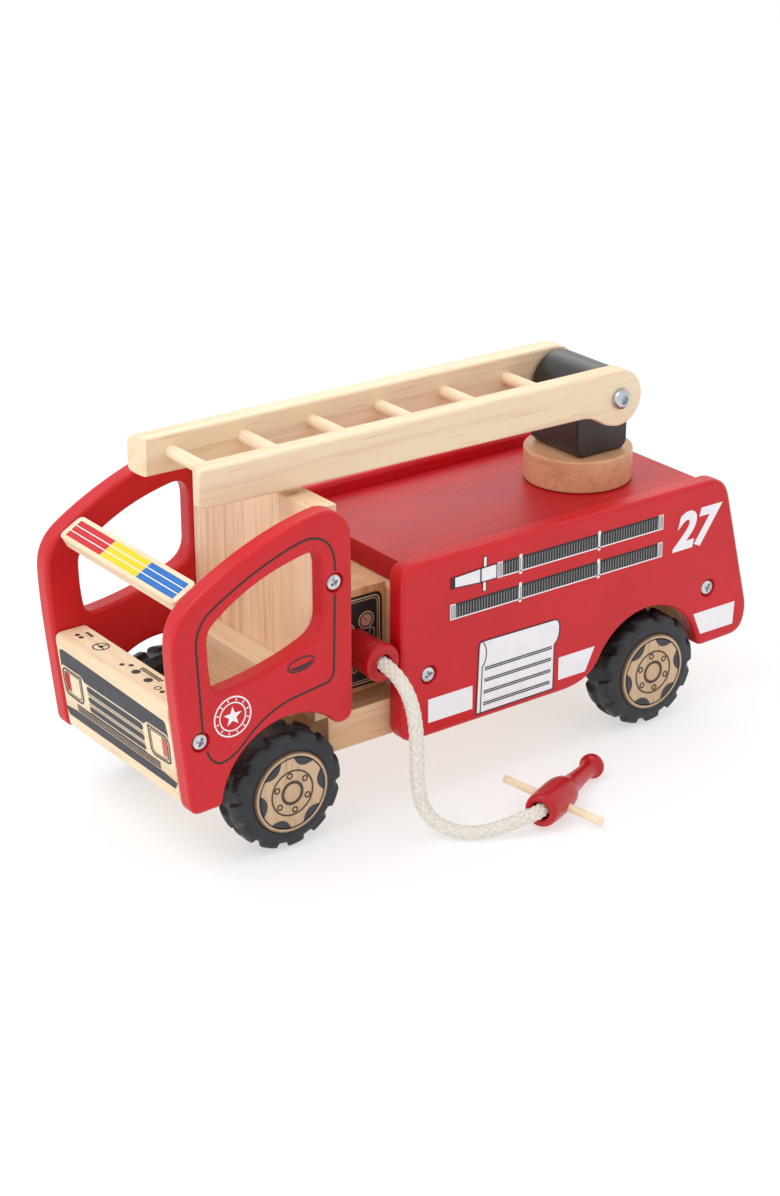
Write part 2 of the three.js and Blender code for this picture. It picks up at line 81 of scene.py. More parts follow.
SPOUT = {"x": -57.4, "z": 77.3, "radius": 8.7, "lip": 9.3, "bore": 4.2, "root": -35.8, "end": -59.6}
HOSE_RADIUS = 3.4
NOZZLE_REAR = Vector((-9.2, -112.9, 9.7))
NOZZLE_TIP = Vector((46.4, -85.6, 5.8))
CROSS_PIN = {"along": 14.6, "half": 25.5, "radius": 1.9, "tilt": 12.3}
HOSE_ROUTE = [
    (-57.4, -47.2, 77.3), (-57.4, -55, 77.2), (-57.4, -63, 76.4), (-56.9, -70.5, 73.2),
    (-56.2, -75.8, 67.8), (-55.6, -78.9, 60.5), (-55.4, -80.6, 52), (-55.8, -81.8, 43),
    (-56.4, -82.8, 34), (-56.4, -83.8, 25), (-55.2, -85.4, 16), (-51.6, -89.2, 8.6),
    (-46.6, -94.8, 4.8), (-41.2, -100.2, 3.7), (-35, -104.2, 3.9), (-28.6, -107, 5),
    (-23, -109.4, 6.6), (-18.2, -111.6, 8.6), (-13.6, -112.8, 9.4), (-9, -112.4, 9.65),
    (-4.9, -110.8, 9.45),
]
SIDES = [("left", -1), ("right", 1)]


# ---------------------------------------------------------------- outlines
def polar(radius, angle):
    return Vector((radius * math.cos(angle), radius * math.sin(angle)))


class Outline:
    """A flat outline in mm, drawn point by point with lines, arcs and Bezier curves."""

    def __init__(self, u, v):
        self.points = [Vector((u, v))]

    def line(self, *points):
        self.points += [Vector(p) for p in points]
        return self

    def bezier(self, controls, steps):
        start = [self.points[-1]] + [Vector(p) for p in controls]
        for i in range(1, steps + 1):
            row = start
            while len(row) > 1:
                row = [a.lerp(b, i / steps) for a, b in zip(row, row[1:])]
            self.points.append(row[0])
        return self

    def quad(self, cu, cv, u, v, steps=8):
        return self.bezier([(cu, cv), (u, v)], steps)

    def cubic(self, bu, bv, cu, cv, u, v, steps=14):
        return self.bezier([(bu, bv), (cu, cv), (u, v)], steps)

    def arc(self, cu, cv, radius, start, end, steps=14):
        for i in range(steps + 1):
            a = math.radians(start + (end - start) * i / steps)
            self.points.append(Vector((cu, cv)) + polar(radius, a))
        return self

    def cleaned(self):
        """The points without the repeats that a curve's start or a closing point leaves."""
        kept = []
        for p in self.points:
            if not kept or (p - kept[-1]).length > 0.02:
                kept.append(p)
        if (kept[0] - kept[-1]).length < 0.02:
            kept.pop()
        return kept


def resampled(loop, step):
    """A closed loop with extra points, so that none of its sides is longer than `step`."""
    out = []
    for a, b in zip(loop, loop[1:] + loop[:1]):
        count = max(1, math.ceil((b - a).length / step))
        out += [a.lerp(b, i / count) for i in range(count)]
    return out


def circle(cu, cv, radius, steps=48):
    return [Vector((cu, cv)) + polar(radius, 2 * math.pi * i / steps) for i in range(steps)]


def cab_side_outline():
    o = Outline(-74.4, 66).line((-74.4, 143))
    o.arc(-89.4, 143, 15, 0, 90)
    o.cubic(-112, 155.5, -140, 143.5, -157.4, 131.5)
    o.quad(-167.2, 124.5, -167.2, 112)
    o.cubic(-167.2, 95, -164.6, 72, -161, 37)
    o.quad(-160.4, 32.2, -156.5, 32.2).line((-147.5, 32.6))
    o.quad(-144.6, 32.8, -144.3, 35.5)
    o.arc(-108.4, 29.4, 36.4, 170.3, 57.1, 24)
    o.cubic(-85.5, 57.4, -84, 54.6, -81, 54.6)
    return o.quad(-74.4, 54.6, -74.4, 62)


def window_outline():
    o = Outline(-90, 130).quad(-90, 141.6, -99, 140.2)
    o.cubic(-117, 137, -133, 130.5, -146.4, 119.6)
    o.quad(-149.6, 117, -149.6, 112)
    o.cubic(-149.6, 104, -149.2, 98, -148.2, 92)
    o.quad(-147.4, 87.2, -142.4, 87.6)
    o.cubic(-126, 89.2, -110, 93, -97.4, 98.4)
    return o.quad(-90.2, 101.6, -90.1, 109.6)


def body_side_outline():
    o = Outline(-39.9, 33.5).line((48, 33.8))
    o.cubic(60, 34, 68.5, 38, 72.4, 47.2)
    o.arc(101.5, 29, 34.3, 148, 12, 24)
    o.quad(135.6, 33.8, 139, 33.8).line((157, 34.2))
    o.quad(168, 34.4, 167.3, 50).line((152, 110.5))
    o.quad(149.3, 121, 139, 121).line((-39.9, 121))
    o.quad(-47.9, 121, -47.9, 113).line((-47.9, 41.5))
    return o.quad(-47.9, 33.5, -39.9, 33.5)


def bumper_outline():
    (top_x, top_z), (foot_x, foot_z) = BUMPER_FACE
    o = Outline(-148.4, 33.3).line((-148.4, 80.5))
    o.quad(-148.4, BUMPER_TOP, -150.4, BUMPER_TOP).line((-161.5, BUMPER_TOP))
    o.quad(-165.3, BUMPER_TOP, top_x, top_z).line((foot_x, foot_z))
    return o.quad(-159.8, 33.3, -157, 33.3)


def rail_outline():
    front, bottom, x = LADDER["front"], LADDER["bottom"], TURN["x"]
    o = Outline(front, 160.5).line((front, 170)).quad(front, 173.5, front + 3.6, 173.5)
    o.line((88, 175.8)).quad(97, 176, x, 176)
    o.arc(x, PIVOT_Z, 14, 90, -108, 30)
    o.cubic(93.5, 149.8, 91, bottom, 81, bottom).line((front + 5, bottom))
    return o.quad(front, bottom, front, 160.5)


def tower_outline():
    x, half = TURN["x"], BLOCK["half"]
    o = Outline(x - half + 3, BLOCK["bottom"]).line((x + half - 3, BLOCK["bottom"]))
    o.line((x + half, BLOCK["bottom"] + 3), (x + half, BLOCK["round_z"]))
    o.arc(x, BLOCK["round_z"], half, 0, 180, 30)
    return o.line((x - half, BLOCK["bottom"] + 3))


# ---------------------------------------------------------------- mesh helpers
def new_object(name, data):
    obj = bpy.data.objects.new(name, data)
    bpy.context.scene.collection.objects.link(obj)
    return obj


def mesh_from(name, bm, face_out=True):
    """A mesh made from a finished bmesh, with all its faces turned outward unless told otherwise."""
    if face_out:
        bmesh.ops.recalc_face_normals(bm, faces=bm.faces)
    mesh = bpy.data.meshes.new(name)
    bm.to_mesh(mesh)
    bm.free()
    return mesh


def evaluated_mesh(obj):
    graph = bpy.context.evaluated_depsgraph_get()
    return bpy.data.meshes.new_from_object(obj.evaluated_get(graph))


def skin(bm, rings):
    """Joins each ring of vertices to the next. All the rings have the same number of points."""
    for a, b in zip(rings, rings[1:]):
        for i in range(len(a)):
            j = (i + 1) % len(a)
            bm.faces.new((a[i], a[j], b[j], b[i]))


def frustum(name, low, high):
    """A closed solid between two loops with the same number of points, in mm."""
    bm = bmesh.new()
    low, high = [[bm.verts.new(Vector(p) * MM) for p in loop] for loop in (low, high)]
    skin(bm, [low, high])
    bm.faces.new(low)
    bm.faces.new(high)
    return new_object(name, mesh_from(name, bm))


def smooth(obj, angle=35):
    for polygon in obj.data.polygons:
        polygon.use_smooth = True
    obj.data.set_sharp_from_angle(angle=math.radians(angle))
    return obj


def weighted(obj):
    """Keeps broad faces flat-looking beside their rounded edges."""
    modifier = obj.modifiers.new("normals", "WEIGHTED_NORMAL")
    modifier.keep_sharp = True
    return obj


def mesh_from_curve(name, loops, thick, edge):
    """A plate on the local XY plane, `thick` deep about z = 0, with its edges rounded."""
    curve = bpy.data.curves.new(name, "CURVE")
    curve.dimensions = "2D"
    curve.fill_mode = "BOTH"
    curve.extrude = (thick / 2 - edge) * MM
    curve.bevel_depth = edge * MM
    curve.bevel_resolution = 4
    curve.offset = -edge * MM
    for points in loops:
        spline = curve.splines.new("POLY")
        spline.points.add(len(points) - 1)
        for point, (u, v) in zip(spline.points, points):
            point.co = (u * MM, v * MM, 0, 1)
        spline.use_cyclic_u = True
    source = new_object(name + "_curve", curve)
    mesh = evaluated_mesh(source)
    bpy.data.objects.remove(source)
    bpy.data.curves.remove(curve)
    bm = bmesh.new()
    bm.from_mesh(mesh)
    bmesh.ops.remove_doubles(bm, verts=bm.verts, dist=0.01 * MM)
    bmesh.ops.recalc_face_normals(bm, faces=bm.faces)
    bm.to_mesh(mesh)
    bm.free()
    mesh.name = name
    return mesh


def plate(name, loops, y0, y1, edge):
    """Outlines drawn in (x, z), made into a rounded plate from y0 to y1."""
    mesh = mesh_from_curve(name, [o.cleaned() for o in loops], y1 - y0, edge)
    mesh.transform(Matrix.Translation((0, (y0 + y1) / 2 * MM, 0)) @ Matrix.Rotation(math.pi / 2, 4, "X"))
    return smooth(new_object(name, mesh))


def turned(name, profile, segments=64):
    """A closed profile of (radius, height) pairs in mm, turned about local Z."""
    bm = bmesh.new()
    rings = []
    for r, h in profile:
        angles = [2 * math.pi * i / segments for i in range(segments)] if r > 1e-4 else [0]
        rings.append([bm.verts.new((*(polar(r, a) * MM), h * MM)) for a in angles])
    for below, above in zip(rings, rings[1:]):
        for i in range(segments):
            j = (i + 1) % segments
            corners = [below[i % len(below)], below[j % len(below)],
                       above[j % len(above)], above[i % len(above)]]
            corners = list(dict.fromkeys(corners))
            if len(corners) > 2:
                bm.faces.new(corners)
    bmesh.ops.remove_doubles(bm, verts=bm.verts, dist=1e-7)
    return smooth(new_object(name, mesh_from(name, bm)), 40)


def aim(direction, location):
    """A matrix that stands local +Z along `direction`, with its origin at `location` (mm)."""
    turn = Vector((0, 0, 1)).rotation_difference(Vector(direction).normalized())
    return Matrix.Translation(Vector(location) * MM) @ turn.to_matrix().to_4x4()


def bore(radius, low, high, direction, location):
    """A round cutter along `direction`, from `low` to `high` about `location`."""
    obj = turned("bore", [(0, low), (radius, low), (radius, high), (0, high)], 32)
    obj.data.transform(aim(direction, location))
    return obj


def carve(obj, cutter):
    """Cuts `cutter` out of `obj` and drops the cutter."""
    modifier = obj.modifiers.new("cut", "BOOLEAN")
    modifier.operation = "DIFFERENCE"
    modifier.solver = "EXACT"
    modifier.object = cutter
    mesh = evaluated_mesh(obj)
    obj.modifiers.remove(modifier)
    obj.data = mesh
    bpy.data.objects.remove(cutter)
    return smooth(obj)


def rounded(obj, width, segments=3):
    """Rounds every edge sharper than 40 degrees."""
    modifier = obj.modifiers.new("round", "BEVEL")
    modifier.width = width * MM
    modifier.segments = segments
    modifier.limit_method = "ANGLE"
    modifier.angle_limit = math.radians(40)
    return weighted(obj)


def finish_piece(obj, material, body, *nodes, slot):
    """Gives a piece its material, its body to ride on and the CAD nodes it stands in for; slot is not used.
    """
    obj.data.materials.clear()
    obj.data.materials.append(material)
    if nodes:
        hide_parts(*nodes)
    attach(obj, body)
    return obj


# ---------------------------------------------------------------- material helpers
MIX_FACTOR, MIX_A, MIX_B, MIX_RESULT = 0, 6, 7, 2     # sockets of a colour Mix node


class Shader:
    """A small builder for a node material, with one Principled shader at its end."""

    def __init__(self, name):
        self.material = bpy.data.materials.new(name)
        self.material.use_nodes = True
        self.tree = self.material.node_tree
        self.tree.nodes.clear()
        out = self.tree.nodes.new("ShaderNodeOutputMaterial")
        self.bsdf = self.tree.nodes.new("ShaderNodeBsdfPrincipled")
        self.tree.links.new(self.bsdf.outputs["BSDF"], out.inputs["Surface"])
        self.coords = self.tree.nodes.new("ShaderNodeTexCoord").outputs["Object"]

    def set(self, **values):
        for name, value in values.items():
            self.bsdf.inputs[name.replace("_", " ")].default_value = value

    def link(self, source, socket):
        self.tree.links.new(source, self.bsdf.inputs[socket])

    def node(self, kind, inputs=(), **settings):
        made = self.tree.nodes.new(kind)
        for name, value in settings.items():
            setattr(made, name, value)
        for key, value in dict(inputs).items():
            if isinstance(value, bpy.types.NodeSocket):
                self.tree.links.new(value, made.inputs[key])
            else:
                made.inputs[key].default_value = value
        return made

    def noise(self, scale, stretch=(1, 1, 1), detail=4, roughness=0.55, distortion=0):
        stretched = self.node("ShaderNodeMapping", {"Vector": self.coords, "Scale": stretch})
        inputs = {"Vector": stretched.outputs["Vector"], "Scale": scale, "Detail": detail,
                  "Roughness": roughness, "Distortion": distortion}
        return self.node("ShaderNodeTexNoise", inputs).outputs["Fac"]

    def remap(self, value, low, high, to_low=0.0, to_high=1.0):
        inputs = {"Value": value, "From Min": low, "From Max": high, "To Min": to_low, "To Max": to_high}
        return self.node("ShaderNodeMapRange", inputs).outputs["Result"]

    def math(self, operation, a, b=0.0):
        return self.node("ShaderNodeMath", {0: a, 1: b}, operation=operation).outputs[0]

    def mix(self, factor, a, b):
        """Colour a where factor is 0, colour b where it is 1."""
        made = self.node("ShaderNodeMix", {MIX_FACTOR: factor, MIX_A: a, MIX_B: b}, data_type="RGBA")
        return made.outputs[MIX_RESULT]

    def bump(self, height, strength, depth):
        inputs = {"Height": height, "Strength": strength, "Distance": depth * MM}
        self.link(self.node("ShaderNodeBump", inputs).outputs["Normal"], "Normal")


def rgb(r, g, b):
    """An sRGB colour of 0-255 as linear RGBA."""
    def linear(c):
        c /= 255
        return c / 12.92 if c <= 0.04045 else ((c + 0.055) / 1.055) ** 2.4
    return (linear(r), linear(g), linear(b), 1)


# ---------------------------------------------------------------- materials
def painted(name, base, deep, grain, gloss, relief=0.25):
    """Lacquer on wood: an even colour with faint clouds, a little grain telegraphing through and dust."""
    s = Shader(name)
    clouds = s.noise(22, detail=3)
    lines = s.noise(260, stretch=(0.06, 1, 1), detail=5, roughness=0.6)
    colour = s.mix(s.remap(clouds, 0.3, 0.7), base, deep)
    shade = s.remap(lines, 0.35, 0.75, 0.0, grain)
    s.link(s.mix(shade, colour, (0.12, 0.004, 0.006, 1)), "Base Color")
    specks = s.noise(1900, detail=2)
    s.link(s.remap(specks, 0.3, 0.8, gloss, gloss + 0.14), "Roughness")
    peel = s.math("ADD", s.math("MULTIPLY", lines, 0.5 + grain), s.math("MULTIPLY", specks, 0.12))
    s.bump(peel, relief, 0.12)
    s.set(Coat_Weight=0.06, Coat_Roughness=0.2, IOR=1.42)
    return s.material


GRAIN = {"X": (0.045, 1, 1), "Y": (1, 0.045, 1), "Z": (1, 1, 0.045)}


def natural_wood(name, axis, light, dark, streak, figure=0.5):
    """Pale hardwood: broad figure, growth streaks and short brown pores, all along one axis."""
    s = Shader(name)
    along = GRAIN[axis]
    broad = s.noise(38, stretch=along, detail=3, roughness=0.5, distortion=0.6)
    bands = s.noise(170, stretch=along, detail=6, roughness=0.62, distortion=0.35)
    pores = s.noise(900, stretch=tuple(k * 0.8 if k < 1 else 1 for k in along), detail=2, roughness=0.4)
    flecks = s.remap(pores, 0.62, 0.74)
    colour = s.mix(s.remap(broad, 0.32, 0.7), light, dark)
    colour = s.mix(s.remap(bands, 0.5, 0.78, 0.0, figure), colour, streak)
    colour = s.mix(s.math("MULTIPLY", flecks, 0.45), colour, streak)
    s.link(colour, "Base Color")
    s.link(s.remap(bands, 0.3, 0.8, 0.42, 0.62), "Roughness")
    relief = s.math("SUBTRACT", s.math("MULTIPLY", bands, 0.35), s.math("MULTIPLY", flecks, 0.6))
    s.bump(relief, 0.3, 0.15)
    s.set(Coat_Weight=0.08, Coat_Roughness=0.4)
    return s.material


def black_stain():
    """Black stained wood with a satin lacquer and a warm brown showing where it is thin."""
    s = Shader("black_stained_wood")
    lines = s.noise(320, stretch=(1, 0.08, 0.25), detail=5)
    wear = s.noise(60, detail=6, roughness=0.7)
    colour = s.mix(s.remap(lines, 0.4, 0.8), rgb(22, 19, 18), rgb(46, 38, 34))
    colour = s.mix(s.remap(wear, 0.66, 0.8, 0, 0.5), colour, rgb(70, 52, 40))
    s.link(colour, "Base Color")
    s.link(s.remap(lines, 0.2, 0.8, 0.3, 0.5), "Roughness")
    s.bump(lines, 0.3, 0.12)
    s.set(Coat_Weight=0.3, Coat_Roughness=0.3)
    return s.material


def tyre_rubber():
    """Matt rubber with a slightly chalky bloom and fine mould texture."""
    s = Shader("tyre_rubber")
    bloom = s.noise(90, detail=5, roughness=0.65)
    grit = s.noise(1500, detail=3)
    dust = s.remap(s.noise(420, detail=6, roughness=0.75), 0.6, 0.78, 0, 0.35)
    colour = s.mix(s.remap(bloom, 0.35, 0.7), rgb(24, 26, 30), rgb(40, 44, 50))
    s.link(s.mix(dust, colour, rgb(78, 82, 88)), "Base Color")
    s.link(s.remap(bloom, 0.3, 0.7, 0.36, 0.54), "Roughness")
    s.bump(s.math("ADD", s.math("MULTIPLY", grit, 0.4), s.math("MULTIPLY", bloom, 0.6)), 0.3, 0.15)
    s.set(Specular_IOR_Level=0.45)
    return s.material


def zinc(name, base, roughness):
    s = Shader(name)
    film = s.noise(300, detail=5, roughness=0.7)
    scratches = s.noise(900, stretch=(1, 0.12, 1), detail=3)
    s.link(s.mix(s.remap(film, 0.35, 0.7), base, rgb(168, 176, 186)), "Base Color")
    s.link(s.remap(film, 0.3, 0.7, roughness, roughness + 0.16), "Roughness")
    s.bump(scratches, 0.15, 0.05)
    s.set(Metallic=1.0)
    return s.material


def cotton():
    """Bleached cotton: yarn-sized mottling, fibre bump and a soft sheen."""
    s = Shader("cotton_rope")
    yarn = s.noise(700, detail=6, roughness=0.7)
    fibre = s.noise(3800, detail=3)
    colour = s.mix(s.remap(yarn, 0.3, 0.72), rgb(212, 206, 193), rgb(240, 235, 225))
    s.link(colour, "Base Color")
    s.link(s.remap(fibre, 0.2, 0.8, 0.85, 1.0), "Roughness")
    s.bump(s.math("ADD", s.math("MULTIPLY", fibre, 0.5), s.math("MULTIPLY", yarn, 0.5)), 0.6, 0.3)
    s.set(Sheen_Weight=0.35, Sheen_Roughness=0.5)
    return s.material


def ink(name, colour, worn, roughness=0.45):
    """Screen-printed ink: nearly even, with tiny pinholes and softer patches."""
    s = Shader(name)
    patches = s.noise(140, detail=4)
    pinholes = s.remap(s.noise(1700, detail=3), 0.66, 0.74, 0, 0.6)
    tone = s.mix(s.remap(patches, 0.35, 0.7, 0, 0.5), colour, worn)
    s.link(s.mix(pinholes, tone, worn), "Base Color")
    s.link(s.remap(patches, 0.3, 0.7, roughness, roughness + 0.15), "Roughness")
    s.bump(pinholes, 0.1, 0.03)
    return s.material


def hub_wood():
    """Hub face grain, and a dark scorched ring round its rim."""
    s = Shader("hub_wood")
    bands = s.noise(210, stretch=(1, 0.06, 1), detail=6, distortion=0.3)
    pores = s.remap(s.noise(1100, stretch=(1, 0.08, 1), detail=2), 0.6, 0.72)
    colour = s.mix(s.remap(bands, 0.3, 0.72), rgb(212, 181, 148), rgb(186, 151, 117))
    colour = s.mix(s.math("MULTIPLY", pores, 0.4), colour, rgb(140, 92, 56))
    split = s.node("ShaderNodeSeparateXYZ", {0: s.coords})
    squares = [s.math("POWER", split.outputs[i], 2.0) for i in (0, 1)]
    radius = s.math("SQRT", s.math("ADD", *squares))
    scorch = s.remap(radius, (WHEEL["hub"] - 1.5) * MM, (WHEEL["hub"] - 0.5) * MM, 0, 0.92)
    s.link(s.mix(scorch, colour, rgb(58, 34, 20)), "Base Color")
    s.link(s.remap(bands, 0.3, 0.8, 0.42, 0.6), "Roughness")
    s.bump(s.math("SUBTRACT", bands, pores), 0.25, 0.12)
    return s.material


def backdrop():
    """White paper lit partly from below, so the shadows on it stay pale."""
    s = Shader("floor_paper")
    s.link(s.mix(s.noise(6, detail=2), (0.42, 0.42, 0.422, 1), (0.44, 0.44, 0.442, 1)), "Base Color")
    s.set(Roughness=0.9, Specular_IOR_Level=0.1, Emission_Color=(1, 1, 1, 1), Emission_Strength=0.56)
    return s.material


RED = painted("red_lacquer", rgb(204, 14, 28), rgb(192, 11, 23), 0.05, 0.36)
RED_STAIN = painted("red_stain_grain", rgb(202, 18, 34), rgb(186, 12, 26), 0.3, 0.4)
RED_TURNED = painted("red_turned", rgb(186, 12, 26), rgb(172, 9, 22), 0.03, 0.26, 0.06)
PALE = dict(light=rgb(242, 224, 194), dark=rgb(230, 205, 168), streak=rgb(198, 158, 114))
WOOD_X = natural_wood("wood_along_x", "X", **PALE)
WOOD_Y = natural_wood("wood_along_y", "Y", **PALE)
WOOD_Z = natural_wood("wood_upright", "Z", rgb(242, 214, 182), rgb(230, 194, 154), rgb(190, 124, 82), 0.85)
WOOD_WARM = natural_wood("wood_warm", "Z", rgb(224, 176, 126), rgb(206, 152, 102), rgb(160, 100, 60), 0.6)
WOOD_BASE = natural_wood("wood_base", "X", rgb(232, 196, 156), rgb(214, 170, 128), rgb(170, 112, 74), 0.6)
WOOD_DISC = natural_wood("wood_disc", "Y", rgb(226, 178, 136), rgb(208, 152, 110), rgb(168, 106, 70), 0.5)
BLACK = black_stain()
RUBBER = tyre_rubber()
ZINC = zinc("zinc_plate", rgb(206, 210, 214), 0.22)
SCREW_ZINC = zinc("screw_zinc", rgb(226, 226, 224), 0.3)
COTTON = cotton()
HUB = hub_wood()
INK_DARK = ink("ink_charcoal", rgb(46, 47, 54), rgb(60, 61, 68))
INK_BLACK = ink("ink_black", rgb(26, 24, 25), rgb(44, 42, 42))
INK_WHITE = ink("ink_white", rgb(238, 236, 240), rgb(224, 222, 228))
INK_GREY = ink("ink_grey", rgb(128, 126, 130), rgb(150, 148, 152))
INK_CREAM = ink("ink_cream", rgb(226, 204, 168), rgb(206, 184, 150))
INK_DIAL = ink("ink_dial", rgb(206, 158, 136), rgb(190, 140, 118))
INK_RED = ink("ink_red", rgb(200, 26, 34), rgb(186, 22, 30))
INK_YELLOW = ink("ink_yellow", rgb(228, 206, 18), rgb(216, 192, 16))
INK_BLUE = ink("ink_blue", rgb(20, 108, 186), rgb(18, 96, 170))
INK_BROWN = ink("ink_scorch", rgb(58, 46, 38), rgb(80, 64, 52))


# ---------------------------------------------------------------- camera and light
def camera():
    data = bpy.data.cameras.new("camera")
    data.lens = CAMERA["lens"]
    data.sensor_width = 36
    data.clip_start = 0.01
    obj = new_object("camera", data)
    turn = Matrix.Rotation(math.radians(CAMERA["heading"]), 4, "Z")
    tip = Matrix.Rotation(math.radians(90 - CAMERA["down"]), 4, "X")
    roll = Matrix.Rotation(math.radians(CAMERA["roll"]), 4, "Z")
    obj.matrix_world = Matrix.Translation(CAMERA_PLACE) @ turn @ tip @ roll
    bpy.context.scene.camera = obj


def area_light(name, location, target, size, power):
    """A rectangular lamp at `location` that faces `target`, in metres."""
    data = bpy.data.lights.new(name, "AREA")
    data.shape = "RECTANGLE"
    data.size, data.size_y = size
    data.energy = power
    obj = new_object(name, data)
    obj.matrix_world = aim(Vector(location) - Vector(target), [v / MM for v in location])


def studio():
    """A white room: even light from all sides, three soft lamps and a pale floor."""
    world = bpy.data.worlds.new("studio")
    world.use_nodes = True
    background = world.node_tree.nodes["Background"]
    background.inputs["Color"].default_value = (1, 1, 1, 1)
    background.inputs["Strength"].default_value = 0.98
    bpy.context.scene.world = world
    bpy.context.scene.view_settings.view_transform = "Standard"
    area_light("key", (-0.9, 0.1, 1.5), (0, 0, 0.05), (1.0, 1.0), 8)
    area_light("back", (0.7, 0.9, 1.1), (0, 0, 0.05), (0.8, 0.8), 3)
    area_light("front", (-1.5, -0.1, 0.35), (-0.1, 0, 0.06), (0.9, 0.6), 1.5)
    bm = bmesh.new()
    bmesh.ops.create_grid(bm, x_segments=8, y_segments=8, size=6)
    floor = new_object("floor", mesh_from("floor", bm, face_out=False))
    floor.data.materials.append(backdrop())


# ---------------------------------------------------------------- hose
def between(a, b, ta, tb, t):
    """The point at time t on the line that is at a at time ta and at b at time tb."""
    return a * ((tb - t) / (tb - ta)) + b * ((t - ta) / (tb - ta))


def catmull_rom(points, steps):
    """Centripetal Catmull-Rom curve through the points, `steps` to a span."""
    p = [Vector(q) for q in points]
    p = [p[0] * 2 - p[1]] + p + [p[-1] * 2 - p[-2]]
    out = []
    for a, b, c, d in zip(p, p[1:], p[2:], p[3:]):
        t1 = (b - a).length ** 0.5
        t2 = t1 + (c - b).length ** 0.5
        t3 = t2 + (d - c).length ** 0.5
        for i in range(steps):
            t = t1 + (t2 - t1) * i / steps
            ab, bc, cd = between(a, b, 0, t1, t), between(b, c, t1, t2, t), between(c, d, t2, t3, t)
            out.append(between(between(ab, bc, 0, t2, t), between(bc, cd, t1, t3, t), t1, t2, t))
    return out + [p[-2]]


def frames_along(path):
    """For each point, its direction and two cross directions, carried along without twist."""
    tangents = [(b - a).normalized() for a, b in zip(path[:1] + path, path[1:] + path[-1:])]
    side = tangents[0].orthogonal().normalized()
    out = []
    for tangent in tangents:
        side = (side - tangent * side.dot(tangent)).normalized()
        out.append((tangent, side, tangent.cross(side)))
    return out


def braid_height(angle, along, lines=6, cell=3.9):
    """0 to 1: how far the yarns of a round braid stand out at a point of its surface."""
    turns = angle / (2 * math.pi) * lines
    u, v = turns + along / cell, turns - along / cell
    across, length = (u % 1, v % 1) if (math.floor(u) + math.floor(v)) % 2 else (v % 1, u % 1)
    crown = 1 - (2 * across - 1) ** 2
    return math.sqrt(max(crown, 0)) * (1 - 0.45 * (2 * length - 1) ** 2)


def hose():
    """The braided rope. Gives back its object, its centreline and its length in mm."""
    path = catmull_rom(HOSE_ROUTE, 28)
    around = 72
    bm = bmesh.new()
    rings = []
    length = 0.0
    for i, (point, (_, side, up)) in enumerate(zip(path, frames_along(path))):
        length += (point - path[i - 1]).length if i else 0.0
        ring = []
        for k in range(around):
            a = 2 * math.pi * k / around
            r = HOSE_RADIUS * (0.78 + 0.24 * braid_height(a, length))
            ring.append(bm.verts.new((point + (side * math.cos(a) + up * math.sin(a)) * r) * MM))
        rings.append(ring)
    skin(bm, rings)
    bm.faces.new(reversed(rings[0]))
    bm.faces.new(rings[-1])
    obj = smooth(new_object("rope_hose", mesh_from("rope_hose", bm)), 60)
    finish_piece(obj, COTTON, "root", "hose", slot="cotton_rope")
    return obj, path, length


def hose_fuzz(path):
    """Short loose fibres standing off the cotton, as thin three-sided hairs, away from the rope's ends."""
    dice = random.Random(7)
    bm = bmesh.new()
    frames = frames_along(path)
    for _ in range(1500):
        i = dice.choice(range(90, len(path) - 60))
        tangent, side, up = frames[i]
        a = dice.uniform(0, 2 * math.pi)
        out = side * math.cos(a) + up * math.sin(a)
        lean = out + tangent * dice.uniform(-1, 1) + out.cross(tangent) * dice.uniform(-0.8, 0.8)
        root = path[i] + out * (HOSE_RADIUS * 0.93)
        tip = root + lean.normalized() * dice.uniform(0.4, 1.3)
        if tip.z < 0.3:
            continue
        cross = out.cross(lean).normalized() * 0.045
        corners = [bm.verts.new(p * MM) for p in (root + cross, root - cross, root + out.cross(cross))]
        top = bm.verts.new(tip * MM)
        for j in range(3):
            bm.faces.new((corners[j], corners[(j + 1) % 3], top))
        bm.faces.new(reversed(corners))
    obj = new_object("rope_fibres", mesh_from("rope_fibres", bm))
    return finish_piece(obj, COTTON, "root", slot="cotton_rope")


def spout():
    """The red turned socket that the hose comes out of."""
    length = SPOUT["root"] - SPOUT["end"]
    r, lip, bore = SPOUT["radius"], SPOUT["lip"], SPOUT["bore"]
    o = Outline(0, 0).line((r, 0), (r, length - 6))
    o.quad(r, length - 4.6, r - 0.5, length - 4.5, 4).quad(lip, length - 4.2, lip, length - 2.8, 6)
    o.quad(lip, length, lip - 2, length, 8).line((bore + 0.8, length))
    o.quad(bore, length, bore, length - 0.8, 4).line((bore, length - 13), (0, length - 13))
    obj = turned("spout_turned", o.points)
    obj.data.transform(aim((0, -1, 0), (SPOUT["x"], SPOUT["root"], SPOUT["z"])))
    finish_piece(obj, RED_TURNED, "root", "spout", slot="red_paint")


def nozzle():
    """The red turned nozzle, drawn from the rope's end towards its tip."""
    axis = NOZZLE_TIP - NOZZLE_REAR
    length = axis.length
    o = Outline(0, 9).line((4.4, 9), (4.4, 1.2)).quad(4.4, 0, 5.4, 0, 4).line((6.2, 0))
    o.quad(7.7, 0.1, 8, 2, 6).quad(8.6, 10, 8.3, 21).quad(8.1, 25.5, 7, 28, 6).quad(5.2, 31.5, 4.9, 34, 6)
    o.line((4.2, 44)).quad(3.8, 50, 3.9, 55, 5).quad(4.1, 57.2, 5.4, 57.8, 5)
    o.quad(6.1, 58.2, 6.1, 59.4, 4).quad(6.1, length - 0.6, 5.2, length - 0.3, 5)
    o.quad(4.4, length, 3.6, length - 0.7, 4).line((0, length - 1))
    obj = turned("nozzle_turned", o.points)
    obj.data.transform(aim(axis, NOZZLE_REAR))
    return finish_piece(obj, RED_TURNED, "root", "nozzle", slot="red_paint")


